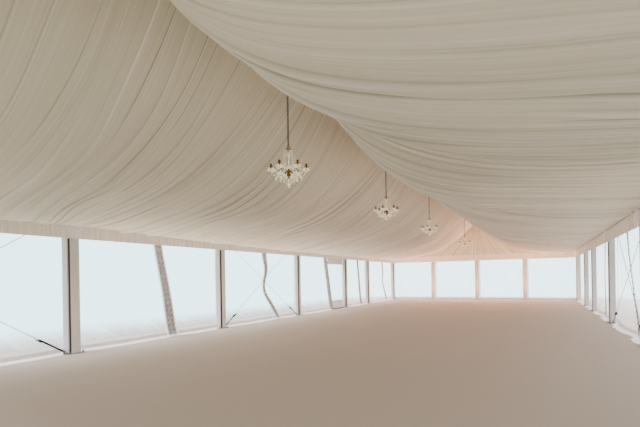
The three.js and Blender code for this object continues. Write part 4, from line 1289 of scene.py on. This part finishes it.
# Cable bracing: two crossed cables a bay, each with a ratchet and strap at its foot
BRACED = [0, 2]
BRACE_FOOT_X = 4.99
BRACE_TOP_X = 5.098
BRACE_FOOT_Z = 0.05
BRACE_TOP_Z = 2.665
BRACE_OFFSET = 0.16
CABLES_APART = 0.016
CABLE_RADIUS = 0.006
RATCHET_SHARE = 0.10
STRAP_HALF = 0.017
STRAP_HALF_THICK = 0.0016


def strap_mesh(start, run):
    """A flat webbing strap from a point along a run."""
    across = run.cross(Vector((1, 0, 0))).normalized() * STRAP_HALF
    thick = Vector((STRAP_HALF_THICK, 0, 0))
    section = [across + thick, thick - across, -across - thick, across - thick, across + thick]
    points = np.array([[list(start + run * t + corner) for corner in section] for t in np.linspace(0, 1, 8)])
    return merged(grid_mesh("strap", points, points[..., :2]))


def brace(side, sign, k):
    """The crossed cables of one bay, with the strap, ratchet, anchor and shackle of each."""
    cables, straps, ratchets, heads = [], [], [], []
    near, far = FRAME_YS[k] + BRACE_OFFSET, FRAME_YS[k + 1] - BRACE_OFFSET
    for index, (foot_y, top_y) in enumerate([(near, far), (far, near)]):
        shift = (index - 0.5) * CABLES_APART
        foot = Vector((sign * (BRACE_FOOT_X + shift), foot_y, BRACE_FOOT_Z))
        top = Vector((sign * (BRACE_TOP_X + shift), top_y, BRACE_TOP_Z))
        run = top - foot
        straps.append(strap_mesh(foot, run * RATCHET_SHARE))
        turn = run.to_track_quat("Z", "X").to_matrix().to_4x4()
        body = soft_box_mesh("ratchet", (-0.014, -0.028, -0.055), (0.014, 0.028, 0.055), 0.004)
        drum = tube_mesh("drum", [(0, -0.034, 0), (0, 0.034, 0)], 0.013, 12)
        handle = soft_box_mesh("handle", (-0.03, -0.018, -0.01), (-0.018, 0.018, 0.12), 0.004)
        for mesh in (body, drum, handle):
            ratchets.append(moved(mesh, Matrix.Translation(foot + run * RATCHET_SHARE) @ turn))
        start = foot + run * (RATCHET_SHARE + 0.012)
        path = [start + (top - start) * t for t in np.linspace(0, 1, 24)]
        cables.append(tube_mesh("cable", path, CABLE_RADIUS, 8))
        foot_low = Vector((foot.x, foot.y, 0.014))
        heads.append(soft_box_mesh("anchor", foot_low - Vector((0.02, 0.02, 0.001)),
                                   foot_low + Vector((0.02, 0.02, 0.06)), 0.004))
        heads.append(soft_box_mesh("shackle", top - Vector((0.012, 0.016, 0.03)),
                                   top + Vector((0.012, 0.016, 0.024)), 0.004))
    for label, meshes, material in (("cables", cables, CABLE), ("straps", straps, BLACK_STRAP),
                                    ("ratchets", ratchets, RATCHET), ("shackles", heads, STEEL)):
        stands_for = [f"{side}_bracing_bay_{k}"] if label == "cables" else []
        piece = new_object(f"{side}_brace_{label}_{k}", joined_mesh(label, meshes), material)
        finished(piece, stands_for=stands_for)


for side, sign in SIDES.items():
    for k in BRACED:
        brace(side, sign, k)

# Frame: the beams keep their shape and get their metal, with pegs in the base plates
SHACKLE_TOP_Z = 4.4605
BEAMS = ("portal_frame", "far_gable_frame", "near_gable_beam")
PEG_RADIUS = 0.0125
PEG_HEAD = [(0.0, 0.0), (PEG_RADIUS, 0.0), (PEG_RADIUS, 0.02), (0.024, 0.021), (0.026, 0.026), (0.022, 0.032),
            (0.0, 0.034)]
PEG_OFFSET = 0.165


def metal_node(name, material):
    """A piece of the frame in its metal."""
    NODES[name].data.materials.clear()
    NODES[name].data.materials.append(material)


for name in NODES:
    if name.startswith(BEAMS) or name.endswith("eave_purlin"):
        metal_node(name, ALUMINIUM)
metal_node("ridge_purlin", purlin_aluminium(SHACKLE_TOP_Z))

# Driven ground pegs: a short stub above the plate under a hammered cap
pegs = []
for sign in SIDES.values():
    for peg_y in [y + dy for y in FRAME_YS for dy in (-PEG_OFFSET, PEG_OFFSET)]:
        if abs(peg_y) < HALF_LENGTH + 0.1:
            place = Vector((sign * (HALF_SPAN - 0.09), peg_y, 0.0125))
            pegs.append(moved(turned_mesh("peg", PEG_HEAD, 14), Matrix.Translation(place)))
finished(new_object("ground_pegs", joined_mesh("pegs", pegs), STEEL))


# Chandeliers, built once about the origin and moved to their frames
CHANDELIER_FRAMES = [1, 2, 3, 5]
PIVOT_Z = frame["joints"][0]["pos_m"][2]
CROWN_Z = 3.27
HUB_Z = 2.925
ARM_COUNT = 6
ARM_TURN = math.radians(30)
ARM_REACH = 0.255
CUP_Z = 3.0
LOWEST_Z = 2.704
CHAIN_PITCH = 0.0295
EYE_RADIUS = 0.0085
BEAD = 0.0075
SMALL_BEAD = 0.006
LOW_STRANDS = 9
DROP_WIDTH = 0.026

# Outlines as radius and height: the stem and the glass sleeve on it from the ground, the arm and its
# scroll from the hub, the cup and the candle from the cup's own height
STEM = [(0.0, 2.8), (0.005, 2.805), (0.006, 2.83), (0.008, 2.87), (0.026, 2.882), (0.045, 2.89),
        (0.058, 2.903), (0.06, 2.915), (0.052, 2.93), (0.04, 2.945), (0.028, 2.952), (0.014, 2.965),
        (0.008, 2.99), (0.007, 3.24), (0.009, 3.25), (0.03, 3.256), (0.042, 3.262), (0.046, 3.274),
        (0.04, 3.28), (0.024, 3.284), (0.012, 3.3), (0.008, 3.31), (0.0, 3.314)]
SLEEVE = [(0.009, 2.975), (0.018, 2.99), (0.02, 3.005), (0.014, 3.025), (0.009, 3.04), (0.009, 3.13),
          (0.013, 3.15), (0.02, 3.165), (0.021, 3.18), (0.013, 3.2), (0.009, 3.21)]
ARM = [(0.05, -0.01), (0.11, -0.055), (0.19, -0.05), (0.245, 0.0), (0.262, 0.035), (ARM_REACH, 0.067)]
SCROLL = [(0.05, 0.05), (0.09, 0.1), (0.13, 0.085), (0.138, 0.05), (0.118, 0.04)]
CUP = [(0.0, -0.014), (0.008, -0.012), (0.03, -0.002), (0.038, 0.006), (0.036, 0.009), (0.016, 0.003),
       (0.015, 0.014), (0.019, 0.04), (0.016, 0.052), (0.0, 0.052)]
CANDLE = [(0.0, 0.05), (0.0095, 0.051), (0.009, 0.082), (0.005, 0.085), (0.0068, 0.095), (0.004, 0.108),
          (0.0, 0.12)]


def polar(radius, angle, z):
    return Vector((radius * math.cos(angle), radius * math.sin(angle), z))


def curve_points(control, steps):
    """A smooth path through a few given points."""
    control = np.array([list(p) for p in control])
    padded = np.vstack([2 * control[0] - control[1], control, 2 * control[-1] - control[-2]])
    path = []
    for i in range(len(control) - 1):
        a, b, c, d = padded[i:i + 4]
        for t in np.linspace(0, 1, steps, endpoint=False):
            path.append(0.5 * (2 * b + (c - a) * t + (2 * a - 5 * b + 4 * c - d) * t ** 2
                               + (3 * b - a - 3 * c + d) * t ** 3))
    path.append(control[-1])
    return path


def link_mesh(length=0.038, width=0.026, wire=0.004):
    """One oval chain link, its long way along Z."""
    angles = np.linspace(0, 2 * math.pi, 16, endpoint=False)
    straight = (length - width) / 2
    path = [(0.0, width / 2 * math.cos(a), width / 2 * math.sin(a) + math.copysign(straight, math.sin(a)))
            for a in angles]
    return tube_mesh("link", path, wire, 6, closed=True)


def cut_glass(name, outline, sides):
    """A turned shape with flat facets about Z."""
    mesh = turned_mesh(name, outline, sides)
    mesh.polygons.foreach_set("use_smooth", [False] * len(mesh.polygons))
    return mesh


def bead_mesh(radius):
    """A cut bead."""
    return cut_glass("bead", [(0.0, -radius), (radius * 0.8, -radius * 0.35), (radius * 0.8, radius * 0.35),
                              (0.0, radius)], 6)


def drop_mesh(length, width):
    """A pear-shaped cut drop that hangs from its top, at the origin."""
    return cut_glass("drop", [(0.0, -length), (width * 0.32, -length * 0.9), (width * 0.5, -length * 0.68),
                              (width * 0.3, -length * 0.3), (width * 0.1, -0.004), (0.0, 0.0)], 8)


def crystals():
    """The chandelier's strings of beads and its hanging drops, as meshes."""
    beads = []

    def strand(start, end, middle, count, radius=BEAD):
        beads.append(copies(start, end, count, bead_mesh(radius), CRYSTAL, middle))

    def drop(place, length, width=DROP_WIDTH):
        beads.append(moved(drop_mesh(length, width), Matrix.Translation(place)))

    for i in range(ARM_COUNT):
        angle = ARM_TURN + 2 * math.pi * i / ARM_COUNT
        following = angle + 2 * math.pi / ARM_COUNT
        between = angle + 0.5
        rim, next_rim = (polar(ARM_REACH - 0.03, turn, CUP_Z + 0.004) for turn in (angle, following))
        strand(rim, next_rim, polar(ARM_REACH * 0.82, (angle + following) / 2, CUP_Z - 0.13), 20)
        strand(polar(0.044, angle, CROWN_Z), rim, polar(0.09, angle, CUP_Z + 0.03), 15, SMALL_BEAD)
        strand(polar(0.044, between, CROWN_Z), polar(0.034, between, 3.01), polar(0.1, between, 3.1), 9,
               SMALL_BEAD)
        for j in range(6):
            drop(polar(ARM_REACH, angle, CUP_Z + 0.002) + polar(0.036, angle + math.pi * j / 3, 0), 0.06)
    for j in range(LOW_STRANDS):
        angle = 2 * math.pi * j / LOW_STRANDS
        strand(polar(0.1, angle, HUB_Z - 0.05), polar(0.014, angle, 2.745), polar(0.085, angle, 2.8), 9)
        drop(polar(0.12, angle, HUB_Z - 0.055), 0.065)
        drop(polar(0.19, angle, HUB_Z - 0.045), 0.065)
    for height in (0.04, 0.09, 0.14):
        drop((0, 0, LOWEST_Z + height), 0.04, 0.034)
    return beads


def chandelier_meshes():
    """The chandelier's meshes by name, each with its material."""
    chain_top, chain_low = PIVOT_Z - 0.024, CROWN_Z + 0.045
    links = round((chain_top - chain_low) / CHAIN_PITCH) + 1
    chain = copies((0, 0, chain_top), (0, 0, chain_low), links, link_mesh(), IRON_CHAIN,
                   turn_each=math.pi / 2)
    ring = [(0.0, EYE_RADIUS * math.cos(a), PIVOT_Z + EYE_RADIUS * math.sin(a))
            for a in np.linspace(0, 2 * math.pi, 24, endpoint=False)]
    snap = moved(link_mesh(length=0.14, width=0.042, wire=0.012), Matrix.Translation((0, 0, PIVOT_Z - 0.09)))
    eye = joined_mesh("eye", [tube_mesh("ring", ring, 0.0036, 8, closed=True), snap])
    arms, cups, candles = [], [], []
    for i in range(ARM_COUNT):
        angle = ARM_TURN + 2 * math.pi * i / ARM_COUNT
        for outline, steps, thick, thin, sides in (
                (ARM, 8, 0.0075, 0.0055, 10), (SCROLL, 7, 0.005, 0.0028, 8)):
            path = curve_points([polar(radius, angle, HUB_Z + z) for radius, z in outline], steps)
            arms.append(tube_mesh("arm", path, np.linspace(thick, thin, len(path)), sides))
        at_arm = Matrix.Translation(polar(ARM_REACH, angle, 0))
        for made, name, outline, sides in ((cups, "cup", CUP, 20), (candles, "candle", CANDLE, 14)):
            raised = [(radius, CUP_Z + z) for radius, z in outline]
            made.append(moved(turned_mesh(name, raised, sides), at_arm))
    return {
        "chain": (chain, IRON_CHAIN), "eye": (eye, IRON_CHAIN),
        "stem": (turned_mesh("stem", STEM, 28), DARK_BRASS),
        "sleeve": (turned_mesh("sleeve", SLEEVE, 20), CRYSTAL),
        "arms": (joined_mesh("arms", arms), CRYSTAL), "cups": (joined_mesh("cups", cups), DARK_BRASS),
        "candles": (joined_mesh("candles", candles), WAX),
        "crystals": (joined_mesh("crystals", crystals()), CRYSTAL)}


meshes = chandelier_meshes()
for index, k in enumerate(CHANDELIER_FRAMES, 1):
    for label, (mesh, material) in meshes.items():
        copy = moved(mesh.copy(), Matrix.Translation((0, FRAME_YS[k], 0)))
        piece = new_object(f"chandelier_{index}_{label}", copy, material)
        stands_for = [f"chandelier_{index}"] if label == "stem" else []
        finished(piece, f"chandelier_{index}_hanging", stands_for)

# Studio: a plain pale floor, white surroundings and soft lights
FLOOR_HALF_X = 14.0
FLOOR_HALF_Y = 22.0
FLOOR_FADES_FROM = 0.5
FLOOR_GONE_BY = 6.0


def studio_floor():
    """A plain pale floor that fades into the white surroundings a few metres from the tent."""
    mesh = bpy.data.meshes.new("floor")
    corners = [(-1, -1), (1, -1), (1, 1), (-1, 1)]
    mesh.from_pydata([(FLOOR_HALF_X * a, FLOOR_HALF_Y * b, 0) for a, b in corners], [], [(0, 1, 2, 3)])
    material, tree, surface = new_material("plain_pale_floor", Roughness=0.85)
    surface.inputs["Base Color"].default_value = linear("#d8ccc6")
    place = add(tree, "ShaderNodeTexCoord")
    away = add(tree, "ShaderNodeVectorMath", [place.outputs["Object"]], operation="ABSOLUTE")
    past = add(tree, "ShaderNodeVectorMath", [away, (HALF_SPAN, HALF_LENGTH, 0.0)], operation="SUBTRACT")
    outside = add(tree, "ShaderNodeVectorMath", [past, (0.0, 0.0, 0.0)], operation="MAXIMUM")
    distance = add(tree, "ShaderNodeVectorMath", [outside], operation="LENGTH")
    fade = add(tree, "ShaderNodeMapRange", {
        "Value": distance.outputs["Value"], "From Min": FLOOR_FADES_FROM, "From Max": FLOOR_GONE_BY,
        "To Min": 1.0, "To Max": 0.0}, interpolation_type="SMOOTHSTEP")
    tree.links.new(fade.outputs[0], surface.inputs["Alpha"])
    new_object("floor", mesh, material)


studio_floor()

world = bpy.data.worlds.new("studio")
world.use_nodes = True
world.node_tree.nodes.clear()
WORLD_LIGHT = 0.86
WORLD_SEEN = 5.0
ray = add(world.node_tree, "ShaderNodeLightPath")
seen = add(world.node_tree, MATH, {
    0: ray.outputs["Is Camera Ray"], 1: ray.outputs["Is Transmission Ray"]}, operation="MAXIMUM")
strength = add(world.node_tree, "ShaderNodeMapRange", {
    "Value": seen, "To Min": WORLD_LIGHT, "To Max": WORLD_SEEN})
colour = add(world.node_tree, "ShaderNodeMix", {"Factor": seen, 6: linear("#fcf1e4"), 7: linear("#c0e8f2")},
             data_type="RGBA")
back = add(world.node_tree, "ShaderNodeBackground", {"Color": colour.outputs[2], "Strength": strength})
add(world.node_tree, "ShaderNodeOutputWorld", {"Surface": back})
bpy.context.scene.world = world


def new_light(name, kind, power, colour, direction):
    """A light of a kind that shines in a direction."""
    data = bpy.data.lights.new(name, kind)
    data.energy = power
    data.color = linear(colour)[:3]
    light = bpy.data.objects.new(name, data)
    light.rotation_euler = Vector(direction).to_track_quat("-Z", "Y").to_euler()
    bpy.context.scene.collection.objects.link(light)
    return light


def area_light(name, place, aim, size, power, colour, spread=180):
    """A soft rectangle of light at a place, aimed at another, that no picture shows."""
    light = new_light(name, "AREA", power, colour, Vector(aim) - Vector(place))
    light.location = place
    light.visible_camera = False
    light.data.spread = math.radians(spread)
    light.data.shape = "RECTANGLE"
    light.data.size, light.data.size_y = size


# A soft sun for the ground and the roof outside
sky = new_light("high_soft_sun", "SUN", 3.0, "#fffdf8", (0.35, 0.3, -1.0))
sky.data.angle = math.radians(40)
SILL_GLOW = {"left": 72, "right": 8}
for side, sign in SIDES.items():
    area_light(f"{side}_ground_glow", (sign * 7.2, 1.7, 0.1), (sign * 4.0, 1.7, 3.2), (21.5, 2.6), 250,
               "#fdeee0")
    area_light(f"{side}_sill_glow", (sign * 4.55, 2.0, 0.04), (sign * 4.4, 2.0, 3.0), (21.0, 0.25),
               SILL_GLOW[side], "#ffdfca", 80)
area_light("left_window_light", (-6.0, -4.0, 1.3), (0, -4.0, 3.0), (16.0, 2.4), 76, "#eff1dc")
area_light("right_window_light", (6.0, 2.0, 1.3), (0, 2.0, 3.0), (21.0, 2.4), 30, "#f6f4e4")
area_light("open_end_light", (0, -15.5, 1.6), (0, 0, 3.2), (9.0, 2.6), 12, "#e6efcc")
area_light("floor_bounce", (0, 1.0, 0.05), (0, 1.0, 4), (9.0, 16.0), 115, "#ffbfb8")
area_light("far_floor_bounce", (0, 10.0, 0.05), (0, 10.0, 4), (9.0, 5.0), 110, "#ffa994")
area_light("far_window_light", (0, 13.6, 1.2), (0, 8.0, 3.2), (9.0, 2.2), 350, "#ffb48a")
area_light("far_sill_glow", (0, 12.2, 0.04), (0, 12.6, 3.0), (9.0, 0.3), 120, "#ffb890", 90)
